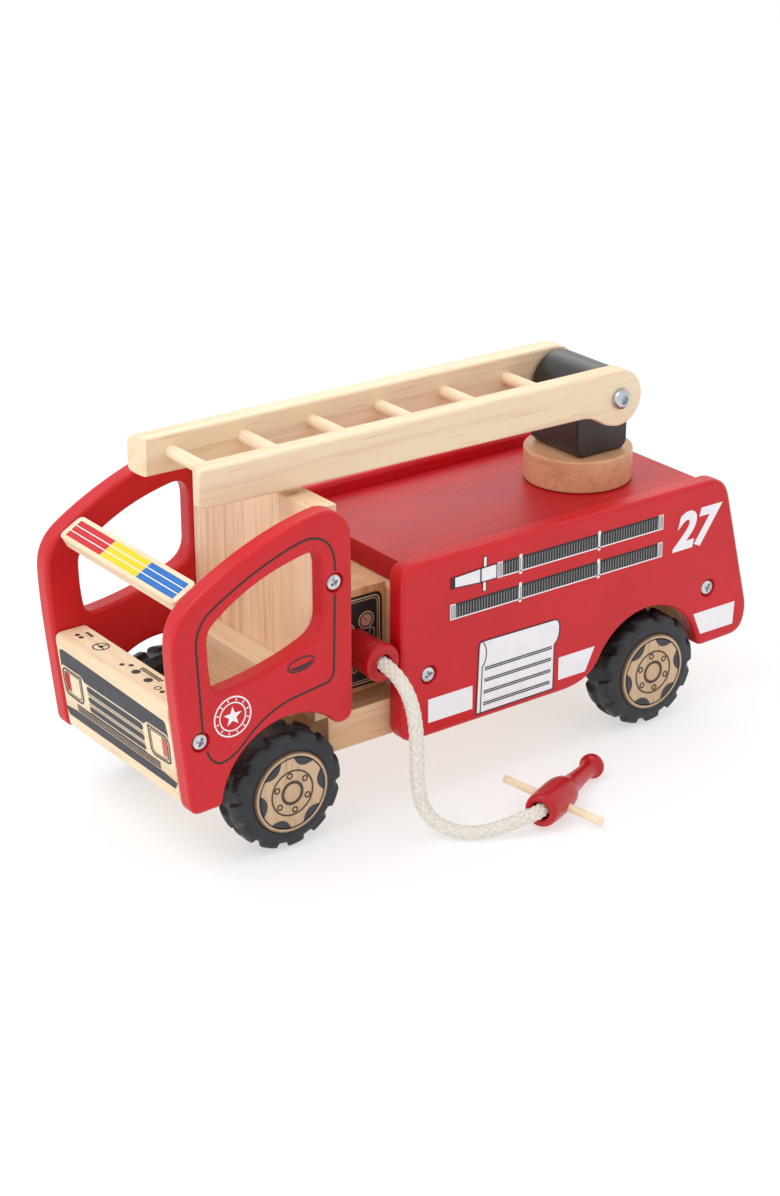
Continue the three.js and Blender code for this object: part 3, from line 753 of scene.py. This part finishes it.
def dowel(name, radius, half):
    """A dowel with chamfered, slightly uneven ends, centred on local Z."""
    o = Outline(0, -half).line((radius - 0.5, -half)).quad(radius, -half, radius, -half + 0.6, 3)
    for i in range(1, 8):
        o.line((radius * (1 + 0.006 * (-1) ** i), -half + 0.6 + (2 * half - 1.2) * i / 8))
    o.line((radius, half - 0.6)).quad(radius, half, radius - 0.5, half, 3).line((0, half))
    return turned(name, o.points, 32)


def cross_pin():
    axis = (NOZZLE_TIP - NOZZLE_REAR).normalized()
    tilt = math.radians(CROSS_PIN["tilt"])
    across = Vector((axis.y, -axis.x, 0)).normalized() * math.cos(tilt) - Vector((0, 0, math.sin(tilt)))
    obj = dowel("nozzle_dowel", CROSS_PIN["radius"], CROSS_PIN["half"])
    obj.data.transform(aim(across, NOZZLE_REAR + axis * CROSS_PIN["along"]))
    return finish_piece(obj, WOOD_Y, "root", "nozzle_cross_pin", slot="natural_wood")


def hose_set():
    rope, path, length = hose()
    fibres = hose_fuzz(path)
    spout()
    ends = [nozzle(), cross_pin(), fibres]


# ---------------------------------------------------------------- painted sides, boards, ladder
def recess_cutter(x, z, side):
    """The stepped, slightly flared hole that a screw sits in."""
    r, deep = SCREW["recess"], SCREW["sunk"]
    obj = turned("recess_cutter", [(0, -deep), (r - 0.4, -deep), (r, -deep + 0.6), (r + 0.1, -0.5),
                                   (r + 0.7, 0.4), (r + 0.7, 1), (0, 1)], 40)
    obj.data.transform(aim((0, side, 0), (x, side * HALF_WIDTH, z)))
    return obj


def painted_sides():
    """The four red sides, with a hole for each of their screws."""
    shapes = {"cab": [cab_side_outline(), window_outline()], "body": [body_side_outline()]}
    for label, side in SIDES:
        y0, y1 = sorted((side * HALF_WIDTH, side * (HALF_WIDTH - SIDE_THICK)))
        for part, loops in shapes.items():
            obj = plate(f"{part}_panel_{label}", loops, y0, y1, EDGE_ROUND)
            for x, z in SCREWS[part]:
                carve(obj, recess_cutter(x, z, side))
            weighted(obj)
            finish_piece(obj, RED, "root", f"{part}_side_{label}", slot="red_paint")


def slot_cutter(turn):
    """One arm of the cross in a screw head, wider and longer at the top."""
    spin = Matrix.Rotation(turn, 3, "Z")
    corners = ((-1, -1), (1, -1), (1, 1), (-1, 1))
    low, high = [[spin @ Vector((u * length, v * width, h)) for u, v in corners]
                 for length, width, h in ((1.3, 0.42, -1.5), (2.7, 0.75, 0.6))]
    return frustum("slot_cutter", low, high)


def screw_mesh():
    """A pan head with a cross slot on a short shank; z = 0 is the top of the head."""
    r = SCREW["head"]
    o = Outline(0, -8.2).line((1.4, -8.2), (1.4, -1.8), (r - 0.3, -1.8)).quad(r, -1.8, r, -1.4, 3)
    o.quad(r - 0.1, -0.5, r * 0.7, -0.15, 6).quad(r * 0.3, 0, 0, 0, 4)
    obj = turned("screw", o.points, 40)
    for turn in (0, math.pi / 2):
        carve(obj, slot_cutter(turn))
    mesh = obj.data
    bpy.data.objects.remove(obj)
    return mesh


def screws():
    mesh = screw_mesh()
    for label, side in SIDES:
        for part, places in SCREWS.items():
            for i, (x, z) in enumerate(places):
                spin = Matrix.Rotation(math.radians(25 + 40 * i + (0 if side < 0 else 17)), 4, "Z")
                obj = new_object(f"{part}_screw_head_{label}_{i + 1}", mesh.copy())
                obj.data.transform(aim((0, side, 0), (x, side * (HALF_WIDTH - 0.15), z)) @ spin)
                finish_piece(obj, SCREW_ZINC, "root", f"{part}_screw_{label}_{i + 1}", slot="zinc_steel")


def keep(node, material, width):
    """Keeps a CAD node, with softened edges and a finished material."""
    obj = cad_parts[node]
    obj.data.materials.clear()
    obj.data.materials.append(material)
    if width:
        rounded(obj, width)


def boards():
    keep("base_board", WOOD_BASE, 0.8)
    keep("pump_block", WOOD_WARM, 0.8)
    for node in ("seat_board", "light_bar", "axle_block_front", "axle_block_rear"):
        keep(node, WOOD_Y, 0.8)
    for node in ("bulkhead", "body_front_board", "body_rear_board"):
        keep(node, WOOD_Z, 0.8)
    keep("top_panel", RED_STAIN, 0.8)
    keep("turntable_pin", ZINC, 0.3)
    keep("ladder_nut", ZINC, 0.35)
    for axle in ("axle_front", "axle_rear", "ladder_washer_left", "ladder_washer_right"):
        keep(axle, ZINC, 0.2)
    block = plate("bumper_front", [bumper_outline()], -INNER, INNER, 0.9)
    weighted(block)
    finish_piece(block, WOOD_Y, "root", "bumper_block", slot="natural_wood")


def tip_cutter(side):
    """The wedge that is sawn off the inner corner of a ladder tip."""
    front, outer = LADDER["front"], LADDER["outer"]
    inner = outer - LADDER["thick"]
    loop = [(front - 2, inner - 2), (front + 4.8, inner - 2), (front - 2, outer + 5)]
    low, high = [[(x, side * y, z) for x, y in loop] for z in (LADDER["bottom"] - 6, PIVOT_Z + 22)]
    return frustum("tip_cutter", low, high)


def ladder():
    pivot = Matrix.Translation(Vector((TURN["x"], 0, PIVOT_Z)) * MM)
    rest = pivot @ Matrix.Rotation(math.radians(LADDER["tilt"]), 4, "Y") @ pivot.inverted()
    inner = LADDER["outer"] - LADDER["thick"]
    for label, side in SIDES:
        y0, y1 = sorted((side * LADDER["outer"], side * inner))
        obj = plate(f"ladder_side_{label}", [rail_outline()], y0, y1, 1.3)
        carve(obj, tip_cutter(side))
        carve(obj, bore(STEEL_BORE, -6, 6, (0, 1, 0), (TURN["x"], (y0 + y1) / 2, PIVOT_Z)))
        obj.data.transform(rest)
        rounded(obj, 0.5, 2)
        finish_piece(obj, WOOD_X, "ladder", f"ladder_rail_{label}", slot="natural_wood")
    for i in range(RUNGS["count"]):
        obj = dowel(f"ladder_dowel_{i + 1}", RUNGS["radius"], inner + RUNGS["socket"])
        obj.data.transform(rest @ aim((0, 1, 0), (RUNGS["first"] + i * RUNGS["pitch"], 0, RUNGS["z"])))
        finish_piece(obj, WOOD_Y, "ladder", f"ladder_rung_{i + 1}", slot="natural_wood")


def pivot_bolt():
    """The domed bolt through the ladder, with a six-sided socket."""
    seat = LADDER["outer"] + GAP
    o = Outline(0, -37.5 - seat).line((2.4, -37.5 - seat), (2.4, 0), (5.2, 0)).quad(5.2, 1.8, 4, 2.7, 6)
    o.quad(2.8, 3.4, 0, 3.4, 6)
    obj = turned("pivot_bolt", o.points, 48)
    socket = turned("socket", [(0, 1.6), (2.4, 1.6), (2.4, 5), (0, 5)], 6)
    obj = carve(obj, socket)
    obj.data.transform(aim((0, -1, 0), (TURN["x"], -seat, PIVOT_Z)))
    finish_piece(obj, ZINC, "turntable", "ladder_bolt", slot="zinc_steel")


def turntable():
    r, low, high, hole = TURN["disc"], TURN["bottom"], TURN["top"], PIN_BORE["radius"]
    o = Outline(hole, low).line((r - 1, low)).quad(r, low, r, low + 1, 5).line((r, high - 1.2))
    o.quad(r, high, r - 1.2, high, 6).line((hole, high), (hole, low))
    disc = turned("turntable_plate", o.points, 96)
    disc.data.transform(Matrix.Translation((TURN["x"] * MM, 0, 0)))
    finish_piece(disc, WOOD_DISC, "turntable", "turntable_disc", slot="natural_wood")
    half = BLOCK["half_width"]
    tower = plate("turntable_tower", [tower_outline()], -half, half, 1.4)
    carve(tower, bore(STEEL_BORE, -half - 2, half + 2, (0, 1, 0), (TURN["x"], 0, PIVOT_Z)))
    carve(tower, bore(hole, PIN_BORE["low"], PIN_BORE["high"], (0, 0, 1), (TURN["x"], 0, BLOCK["bottom"])))
    weighted(tower)
    finish_piece(tower, BLACK, "turntable", "turntable_block", slot="black_wood")
    pivot_bolt()


# ---------------------------------------------------------------- wheels
def step(edge0, edge1, x):
    t = min(max((x - edge0) / (edge1 - edge0), 0), 1)
    return t * t * (3 - 2 * t)


def carcass(v):
    """The tyre's outside at v from -1 (inner bead) to 1 (outer bead): (radius, height, lug share)."""
    half, inner, top = WHEEL["width"] / 2, WHEEL["hub"] + GAP, WHEEL["radius"]
    a = v * math.pi / 2
    round_height = math.copysign(abs(math.sin(a)) ** 0.56, a)
    round_radius = max(math.cos(a), 0) ** 0.5
    radius = inner + (top - LUG_DEPTH - inner) * round_radius
    lug = 1 - step(0.66, 0.78, abs(v))
    return radius, half * round_height, lug


def tyre_mesh():
    """A balloon tyre whose blocky lugs cross each shoulder, staggered from side to side."""
    around, across = LUGS * 24, 48
    half, inner = WHEEL["width"] / 2, WHEEL["hub"] + GAP
    bm = bmesh.new()
    rings = []
    for i in range(around):
        a = 2 * math.pi * i / around
        section = []
        for k in range(across + 1):
            v = -1 + 2 * k / across
            radius, height, share = carcass(v)
            phase = (a / (2 * math.pi) * LUGS + (0.5 if v < 0 else 0) + 0.3 * abs(v)) % 1
            block = step(0.05, 0.11, phase) - step(0.66, 0.72, phase)
            centre = step(0.0, 0.1, abs(v))
            lug = max(block * centre, 0.25 * (1 - centre))
            bead = 0.35 * math.exp(-((abs(v) - 0.9) / 0.03) ** 2)
            height += math.copysign(bead, v) if abs(v) > 0.8 else 0
            section.append((radius + LUG_DEPTH * share * lug, max(min(height, half), -half)))
        section += [(inner, half - 1), (inner, 1 - half)]
        rings.append([bm.verts.new((*(polar(r, a) * MM), h * MM)) for r, h in section])
    skin(bm, rings + rings[:1])
    return mesh_from("tyre", bm)


def hub_profile():
    """A wooden disc with a blind hole for the axle, open at the inner face."""
    half, face, r = WHEEL["width"] / 2, WHEEL_FACE, WHEEL["hub"]
    hole_end = WHEEL["bore_depth"] - half
    o = Outline(0, face).line((r - 1.4, face)).quad(r, face, r, face - 1.4, 6).line((r, 1 - half))
    o.quad(r, -half, r - 1, -half, 4).line((STEEL_BORE, -half), (STEEL_BORE, hole_end))
    return o.line((0, hole_end)).points


def stroke(points, width, closed=False):
    """A line of even width as flat quads."""
    pts = [Vector(p) for p in points]
    n = len(pts)
    edges = []
    for i, p in enumerate(pts):
        ways = []
        if i or closed:
            ways.append((p - pts[i - 1]).normalized())
        if i < n - 1 or closed:
            ways.append((pts[(i + 1) % n] - p).normalized())
        way = sum(ways, Vector((0, 0))).normalized()
        normal = Vector((-way.y, way.x))
        miter = min(1 / max(normal.dot(Vector((-ways[-1].y, ways[-1].x))), 0.4), 2)
        edges.append((p + normal * (width / 2 * miter), p - normal * (width / 2 * miter)))
    ends = edges[1:] + edges[:1] if closed else edges[1:]
    return [[a[0], a[1], b[1], b[0]] for a, b in zip(edges, ends)]


def ring(cu, cv, radius, width):
    return stroke(circle(cu, cv, radius), width, closed=True)


def print_on(name, shapes, place, outward, material, slot, body="root", parent=None):
    """One thin layer of ink. place() turns (u, v) into mm, and outward points off the surface."""
    bm = bmesh.new()
    for shape in shapes:
        bm.faces.new([bm.verts.new(Vector(place(u, v)) * MM) for u, v in shape])
    bmesh.ops.remove_doubles(bm, verts=bm.verts, dist=0.005 * MM)
    bmesh.ops.triangulate(bm, faces=bm.faces, ngon_method="EAR_CLIP")
    bm.normal_update()
    for face in bm.faces:
        if face.normal.dot(Vector(outward)) < 0:
            face.normal_flip()
    obj = new_object(name, mesh_from(name, bm, face_out=False))
    layer = obj.modifiers.new("ink", "SOLIDIFY")
    layer.thickness = PAPER * MM
    layer.offset = 1
    if parent is not None:
        obj.matrix_world = parent
    finish_piece(obj, material, body, slot=slot)


def hub_prints(label, axle, matrix, body):
    """Wheel artwork: a rim line, six dark pockets, a bolt circle with six nuts and a centre ring."""
    rim, half = 17.4, math.radians(19)
    pockets = []
    lines = ring(0, 0, rim, 0.7) + ring(0, 0, 10.9, 0.8) + ring(0, 0, 5.2, 1.5)
    for i in range(6):
        middle = math.radians(60 * i + 8)
        outer = [polar(rim, middle - half + half * k / 5) for k in range(11)]
        inner = Outline(*outer[-1]).quad(*polar(10.6, middle), *outer[0], 10)
        pockets.append(outer + inner.points[1:-1])
        lines += ring(*polar(8.7, math.radians(60 * i + 38)), 1.25, 0.75)

    def place(u, v):
        return u, v, WHEEL_FACE
    for part, shapes, material in (("lines", lines, INK_BROWN), ("pockets", pockets, INK_DARK)):
        name = f"hub_{part}_{axle}_{label}"
        print_on(name, shapes, place, (0, 0, 1), material, "natural_wood", body, matrix)


def wheels():
    mesh = tyre_mesh()
    profile = hub_profile()
    for axle, x in WHEEL_X.items():
        body = f"{axle}_axle"
        for label, side in SIDES:
            centre = (x, side * (HALF_WIDTH - WHEEL["width"] / 2), WHEEL["z"])
            matrix = aim((0, side, 0), centre)
            tyre = smooth(new_object(f"tyre_tread_{axle}_{label}", mesh.copy()), 50)
            tyre.matrix_world = matrix
            finish_piece(tyre, RUBBER, body, f"tyre_{axle}_{label}", slot="tyre_rubber")
            hub = turned(f"hub_turned_{axle}_{label}", profile, 96)
            hub.matrix_world = matrix
            finish_piece(hub, HUB, body, f"hub_{axle}_{label}", slot="natural_wood")
            hub_prints(label, axle, matrix, body)


# ---------------------------------------------------------------- prints
def side_print(name, shapes, side, material, layer=0):
    """A print on the outer face of the left (-1) or right (+1) painted sides, drawn in (x, z)."""
    def place(u, v):
        return u, side * (HALF_WIDTH + layer * INK_STEP), v
    print_on(name, shapes, place, (0, side, 0), material, "red_paint")


def box_shape(u0, u1, v0, v1):
    return [(u0, v0), (u1, v0), (u1, v1), (u0, v1)]


def round_box(u0, u1, v0, v1, r):
    o = Outline(u0 + r, v0).line((u1 - r, v0)).arc(u1 - r, v0 + r, r, -90, 0, 5)
    o.arc(u1 - r, v1 - r, r, 0, 90, 5).arc(u0 + r, v1 - r, r, 90, 180, 5)
    return o.arc(u0 + r, v0 + r, r, 180, 270, 5).cleaned()


def door_line():
    """The outline of the door, broken where it meets a screw."""
    o = Outline(-156, 111).line((-154.2, 73)).quad(-153.2, 55.5, -145.2, 54.2)
    o.quad(-139, 54.4, -131.6, 62).quad(-122, 71.4, -109.2, 74.3).line((-88.6, 77.2))
    o.quad(-85.4, 78.4, -85.2, 83).line((-83.9, 131)).quad(-84.2, 146.8, -98, 147.6)
    o.cubic(-112, 145.8, -134, 135.8, -148.4, 126.6).quad(-156, 121.5, -156, 111)
    line = stroke(resampled(o.cleaned(), 0.9), 1.0, closed=True)
    return [quad for quad in line if not over_screw(quad[0])]


def over_screw(point):
    """True where a print would cross the recess of a cab screw."""
    return any((Vector(point) - Vector(screw)).length < SCREW["recess"] + 0.9 for screw in SCREWS["cab"])


def door_handle():
    """An oval line with a crescent in its lower half."""
    tilt = Matrix.Rotation(math.radians(7), 2)
    centre = Vector((-102.7, 89.8))

    def oval(ru, rv, start, end, steps):
        angles = [math.radians(start + (end - start) * i / steps) for i in range(steps + 1)]
        return [centre + tilt @ Vector((ru * math.cos(a), rv * math.sin(a))) for a in angles]
    outline = stroke(oval(7, 3, 0, 352, 44), 0.7, closed=True)
    return outline, [oval(6, 2.3, 190, 350, 16) + oval(6, 0.6, 350, 190, 16)]


def emblem():
    """A plain badge: two rings, short ticks between them and a five-pointed star."""
    centre = Vector((-138.8, 74.8))
    shapes = ring(*centre, 9.3, 0.7) + ring(*centre, 6.6, 0.6)
    for i in range(12):
        a = math.radians(30 * i + 15)
        shapes += stroke([centre + polar(7.4, a), centre + polar(8.5, a)], 0.6)
    shapes.append([centre + polar(1.95 if i % 2 else 4.8, math.radians(90 + 36 * i)) for i in range(10)])
    return shapes


def cab_prints():
    handle, crescent = door_handle()
    for label, side in SIDES:
        side_print(f"door_line_{label}", door_line() + handle, side, INK_BLACK)
        side_print(f"door_handle_{label}", crescent, side, INK_BLACK)
        side_print(f"door_badge_{label}", emblem(), side, INK_WHITE)


def stripes():
    """The three pieces of the white band along the foot of the body."""
    return [
        [(-33, 40.7), (-7.3, 40.7), (-7.3, 52.6), (-33, 52.6)],
        [(44.6, 40.9), (61.3, 40.9), (67, 52.6), (44.6, 52.6)],
        [(136.2, 40.6), (157.9, 40.6), (158.7, 52.6), (131, 52.6)],
    ]


HOSE_LINES = {"upper": (9.4, 105.3, 107.1), "lower": (-17.8, 105.3, 92.9)}     # x from, x to, z
HOSE_HALF = 3.7
RIB_PITCH = 1.62


def hose_art():
    """The printed hoses: (dark grounds; white edges, collars and clips; grey ribs)."""
    dark, white, grey = [], [], []

    def upright(x, half, low, high):
        return box_shape(x - half, x + half, low, high)
    for x0, x1, z in HOSE_LINES.values():
        low, high = z - HOSE_HALF, z + HOSE_HALF
        dark.append(box_shape(x0, x1, low, high))
        white.append(box_shape(x0, x1, low - 0.15, low + 0.45))
        for i in range(int((x1 - x0) / RIB_PITCH)):
            grey.append(upright(x0 + (i + 0.5) * RIB_PITCH, 0.22, low + 0.9, high - 0.9))
        for end in (x0 - 1.4, x1 + 1.4):
            white.append(upright(end, 1.5, low - 0.2, high + 0.2))
            grey += [upright(end + k, 0.2, low + 0.3, high - 0.3) for k in (-0.8, 0, 0.8)]
        for clip in (20.2, 67.8):
            white.append(round_box(clip - 0.85, clip + 0.85, low - 1.4, high + 1.2, 0.7))
    return dark, white, grey


def branch_pipe():
    """The printed nozzle at the front end of the upper hose."""
    z = HOSE_LINES["upper"][2]
    body = [(-18.3, z - 2.5), (-3, z - 3.5), (6, z - 3.5), (6, z + 3.5), (-3, z + 3.4), (-18.3, z + 2.6)]
    handles = [round_box(-1.7, 0.2, z + 3.6, z + 8.8, 0.8), round_box(-2, -0.1, z - 8.4, z - 3.6, 0.8)]
    lines = stroke(body, 0.4, closed=True) + stroke([(-3.2, z - 3.8), (-3.2, z + 3.7)], 0.8)
    lines += [box_shape(-20.4, -18.2, z - 2.9, z + 2.9)]
    for handle in handles:
        lines += stroke(handle, 0.3, closed=True)
    return [body] + handles, lines


def shutter():
    """A white locker shutter with a rolled left edge, a belly at the right and four double lines."""
    o = Outline(-1.6, 73.6).line((41.5, 73.2)).quad(44.8, 72.8, 44.7, 68).quad(44.6, 62.6, 41.6, 60.4)
    o.line((41.3, 38.2)).quad(41.2, 37.3, 40, 37.3).line((-5.1, 37.1), (-3.6, 71))
    o.quad(-3.4, 73.6, -1.6, 73.6)
    body = o.cleaned()
    lines = stroke(body, 0.6, closed=True)
    fold = Outline(-1.6, 73.4).quad(0.9, 70.5, 0.6, 66).quad(0.3, 62.6, -1.7, 60.6).line((-2.7, 37.4))
    lines += stroke(fold.cleaned(), 0.5)
    for i in range(4):
        z = 59.3 - 5.95 * i
        lines += stroke([(-0.2 - 0.25 * i, z + 0.45), (40.1 - 0.3 * i, z + 0.45)], 0.6)
        lines += stroke([(-0.2 - 0.25 * i, z - 0.55), (40.1 - 0.3 * i, z - 0.55)], 0.6)
    return [body], lines


def number_shapes(text):
    """Bold italic digits as flat polygons, in mm, standing on v = 0 with their middle at u = 0."""
    curve = bpy.data.curves.new("number", "FONT")
    curve.body = text
    curve.size = NUMBER["size"] * MM
    curve.shear = 0.26
    curve.offset = 1.0 * MM
    curve.align_x = "CENTER"
    curve.resolution_u = 6
    source = new_object("number_source", curve)
    mesh = evaluated_mesh(source)
    shapes = [[(mesh.vertices[i].co.x / MM, mesh.vertices[i].co.y / MM) for i in polygon.vertices]
              for polygon in mesh.polygons]
    bpy.data.objects.remove(source)
    return shapes


def body_prints():
    dark, white, grey = hose_art()
    pipe, pipe_lines = branch_pipe()
    panel, panel_lines = shutter()
    artwork = [
        ("stripes", stripes() + panel, INK_WHITE, 0),
        ("panel_lines", panel_lines, INK_BLACK, 1),
        ("hose_ground", dark, INK_BLACK, 0),
        ("hose_white", white + pipe, INK_WHITE, 1),
        ("hose_ribs", grey, INK_GREY, 2),
        ("pipe_lines", pipe_lines, INK_BLACK, 2),
    ]
    digits = number_shapes(NUMBER["text"])
    for label, side in SIDES:
        for name, shapes, material, layer in artwork:
            side_print(f"{name}_{label}", shapes, side, material, layer)
        number = [[(NUMBER["x"] - u * side, NUMBER["z"] + v) for u, v in digit] for digit in digits]
        side_print(f"number_{label}", number, side, INK_WHITE)


def headlights():
    """Both lamps: a double outline and a red hatched lens at the outer end of each."""
    lines, hatch = [], []
    for hand in (-1, 1):
        lamp = Outline(hand * 29.5, 66.2).line((hand * 43, 66.2)).quad(hand * 46.4, 66.2, hand * 46.6, 62)
        lamp.line((hand * 46, 55)).quad(hand * 45.8, 52.6, hand * 43, 52.6).line((hand * 33, 52.2))
        lamp.quad(hand * 29.8, 52.4, hand * 29.6, 56)
        shape = lamp.cleaned()
        middle = Vector((hand * 38, 59.2))
        lines += stroke(shape, 0.8, closed=True)
        lines += stroke([middle + (p - middle) * 0.82 for p in shape], 0.35, closed=True)
        for v in (54.8 + 1.15 * i for i in range(8)):
            for u in (40.4, 41.9, 43.4):
                slant = ((u, v), (u + 1.3, v + 1.2), (u + 1.3, v + 1.9), (u, v + 0.7))
                hatch.append([(hand * a, b) for a, b in slant])
    return lines, hatch


def front_prints():
    """Bonnet band, grille, headlights and bumper bar on the sloping front."""
    (top_x, top_z), (foot_x, foot_z) = BUMPER_FACE
    lean = (foot_x - top_x) / (foot_z - top_z)

    def front(u, v):
        return top_x + (v - top_z) * lean, -u, v

    def above(u, v):
        x, y, z = front(u, v)
        return x - INK_STEP, y, z
    band = Outline(-46.5, 74.6).line((-44, 76), (44, 74.2)).quad(46, 74, 46, 72).line((47, 66.4))
    band.quad(46, 67.6, 44, 67.6).line((30, 67.6)).quad(27.6, 67.4, 26.4, 65.4)
    band.line((-26.4, 65.4)).quad(-27.6, 67.4, -30, 67.6).line((-44, 67.6)).quad(-46, 67.6, -47, 66.4)
    bumper_bar = [(-49, 44.9), (-39.5, 45.8), (38, 45.8), (49, 44.6), (46.6, 40.9), (-46.6, 40.9)]
    dark = [band.cleaned(), bumper_bar]
    lines, hatch = headlights()
    for z, half in ((62.7, 1.7), (57.4, 1.55), (52.5, 1.35)):
        dark.append(round_box(-24.6, 24.6, z - half, z + half, half - 0.1))
        lines += stroke([(-24.6, z - half - 0.95), (24.6, z - half - 0.95)], 0.25)
    for z in (49.6, 48.25, 46.9):
        lines += stroke([(-37, z), (36, z)], 0.75)
    for name, shapes, place, material in (("grille_dark", dark, front, INK_DARK),
                                          ("grille_lines", lines, above, INK_DARK),
                                          ("lamp_hatch", hatch, above, INK_RED)):
        print_on(name, shapes, place, (-1, 0, 0), material, "natural_wood")


def dashboard_prints():
    """A steering wheel, dials, switches and vents on top of the bumper block."""
    def place(u, v):
        return u, v, BUMPER_TOP
    hub = Vector((-155.9, 22.7))
    shapes = ring(*hub, 3.7, 0.7) + ring(-158, -30.2, 1.5, 0.5)
    shapes += stroke([hub - Vector((0.5, 3.7)), hub, hub + Vector((-0.5, 3.7))], 0.6)
    shapes += stroke([hub, hub + Vector((3.7, 0))], 0.6)
    for u, v, r in ((hub.x, hub.y, 1.1), (-158, 40.4, 1.2), (-158, 37, 1.2), (-158.1, 0.4, 1.2),
                    (-155.2, -2.8, 1.2), (-157, -10, 2.1), (-157.2, -20.7, 2.1), (-158.4, -34.6, 1.2)):
        shapes.append(circle(u, v, r, 24))
    shapes += [box_shape(-154.1, -152.5, 34.4 + 1.6 * i, 35.6 + 1.6 * i) for i in range(4)]
    shapes += [box_shape(-154.2 + 1.3 * k, -153.2 + 1.3 * k, -9.2 - 1.6 * i, -8.1 - 1.6 * i)
               for i in range(11) for k in range(2)]
    print_on("dash_marks", shapes, place, (0, 0, 1), INK_BLACK, "natural_wood")


def light_bar_prints():
    """Three blocks of colour across the bar, each split into three strips."""
    lean = Matrix.Rotation(math.radians(LIGHT_BAR["lean"]), 3, "Y")
    outward = lean @ Vector((0, 0, 1))

    def place(u, v):
        return Vector(LIGHT_BAR["centre"]) + lean @ Vector((v, u, LIGHT_BAR["half_thick"]))
    strip, block = 3.4, 92 / 3
    gaps = []
    for name, material, start in (("blue", INK_BLUE, -1.5), ("yellow", INK_YELLOW, -0.5),
                                  ("red", INK_RED, 0.5)):
        u0, u1 = start * block + 0.3, (start + 1) * block - 0.3
        strips = [box_shape(u0, u1, v - strip / 2 + 0.28, v + strip / 2 - 0.28) for v in (-strip, 0, strip)]
        gaps += [box_shape(u0, u1, v - 0.24, v + 0.24) for v in (-strip / 2, strip / 2)]
        print_on(f"light_bar_{name}", strips, place, outward, material, "natural_wood")
    print_on("light_bar_gaps", gaps, place, outward, INK_WHITE, "natural_wood")


def pump_print(name, shapes, material, layer):
    def place(u, v):
        return u, PUMP_FACE - layer * INK_STEP, v
    print_on(name, shapes, place, (0, -1, 0), material, "black_wood")


def pump_prints():
    """The pump's control panel: a black plate with cream borders, gauges and valves."""
    lines = stroke(round_box(-71, -42.8, 57.6, 99.9, 3), 0.5, closed=True)
    lines += stroke(round_box(-69.8, -44, 58.8, 98.7, 2.2), 0.3, closed=True)
    dials, needles = [], []
    for u, v, r in ((-50.2, 88.6, 4.1), (-59.8, 85.5, 2.9), (-66.4, 89, 1.9)):
        lines += ring(u, v, r, 0.45)
        dials.append(circle(u, v, r * 0.74, 32))
        needles += stroke([(u + r * 0.1, v - r * 0.1), (u - r * 0.42, v + r * 0.45)], 0.45)
        for i in range(7):
            a = math.radians(210 - 40 * i)
            centre = Vector((u, v))
            needles += stroke([centre + polar(r * 0.56, a), centre + polar(r * 0.7, a)], 0.2)
    for i in range(5):
        lines += ring(-66 + 4.4 * i, 65, 1.2, 0.35)
    lines += stroke(round_box(-48.4, -45.8, 74, 84, 1), 0.35, closed=True)
    pump_print("pump_panel", [round_box(-72.6, -41.2, 56, 101.5, 4)], INK_BLACK, 0)
    pump_print("pump_panel_lines", lines, INK_CREAM, 1)
    pump_print("pump_dials", dials, INK_DIAL, 1)
    pump_print("pump_needles", needles, INK_BLACK, 2)


# ---------------------------------------------------------------- build
camera()
studio()
hose_set()
painted_sides()
screws()
boards()
ladder()
turntable()
wheels()
cab_prints()
body_prints()
front_prints()
dashboard_prints()
light_bar_prints()
pump_prints()
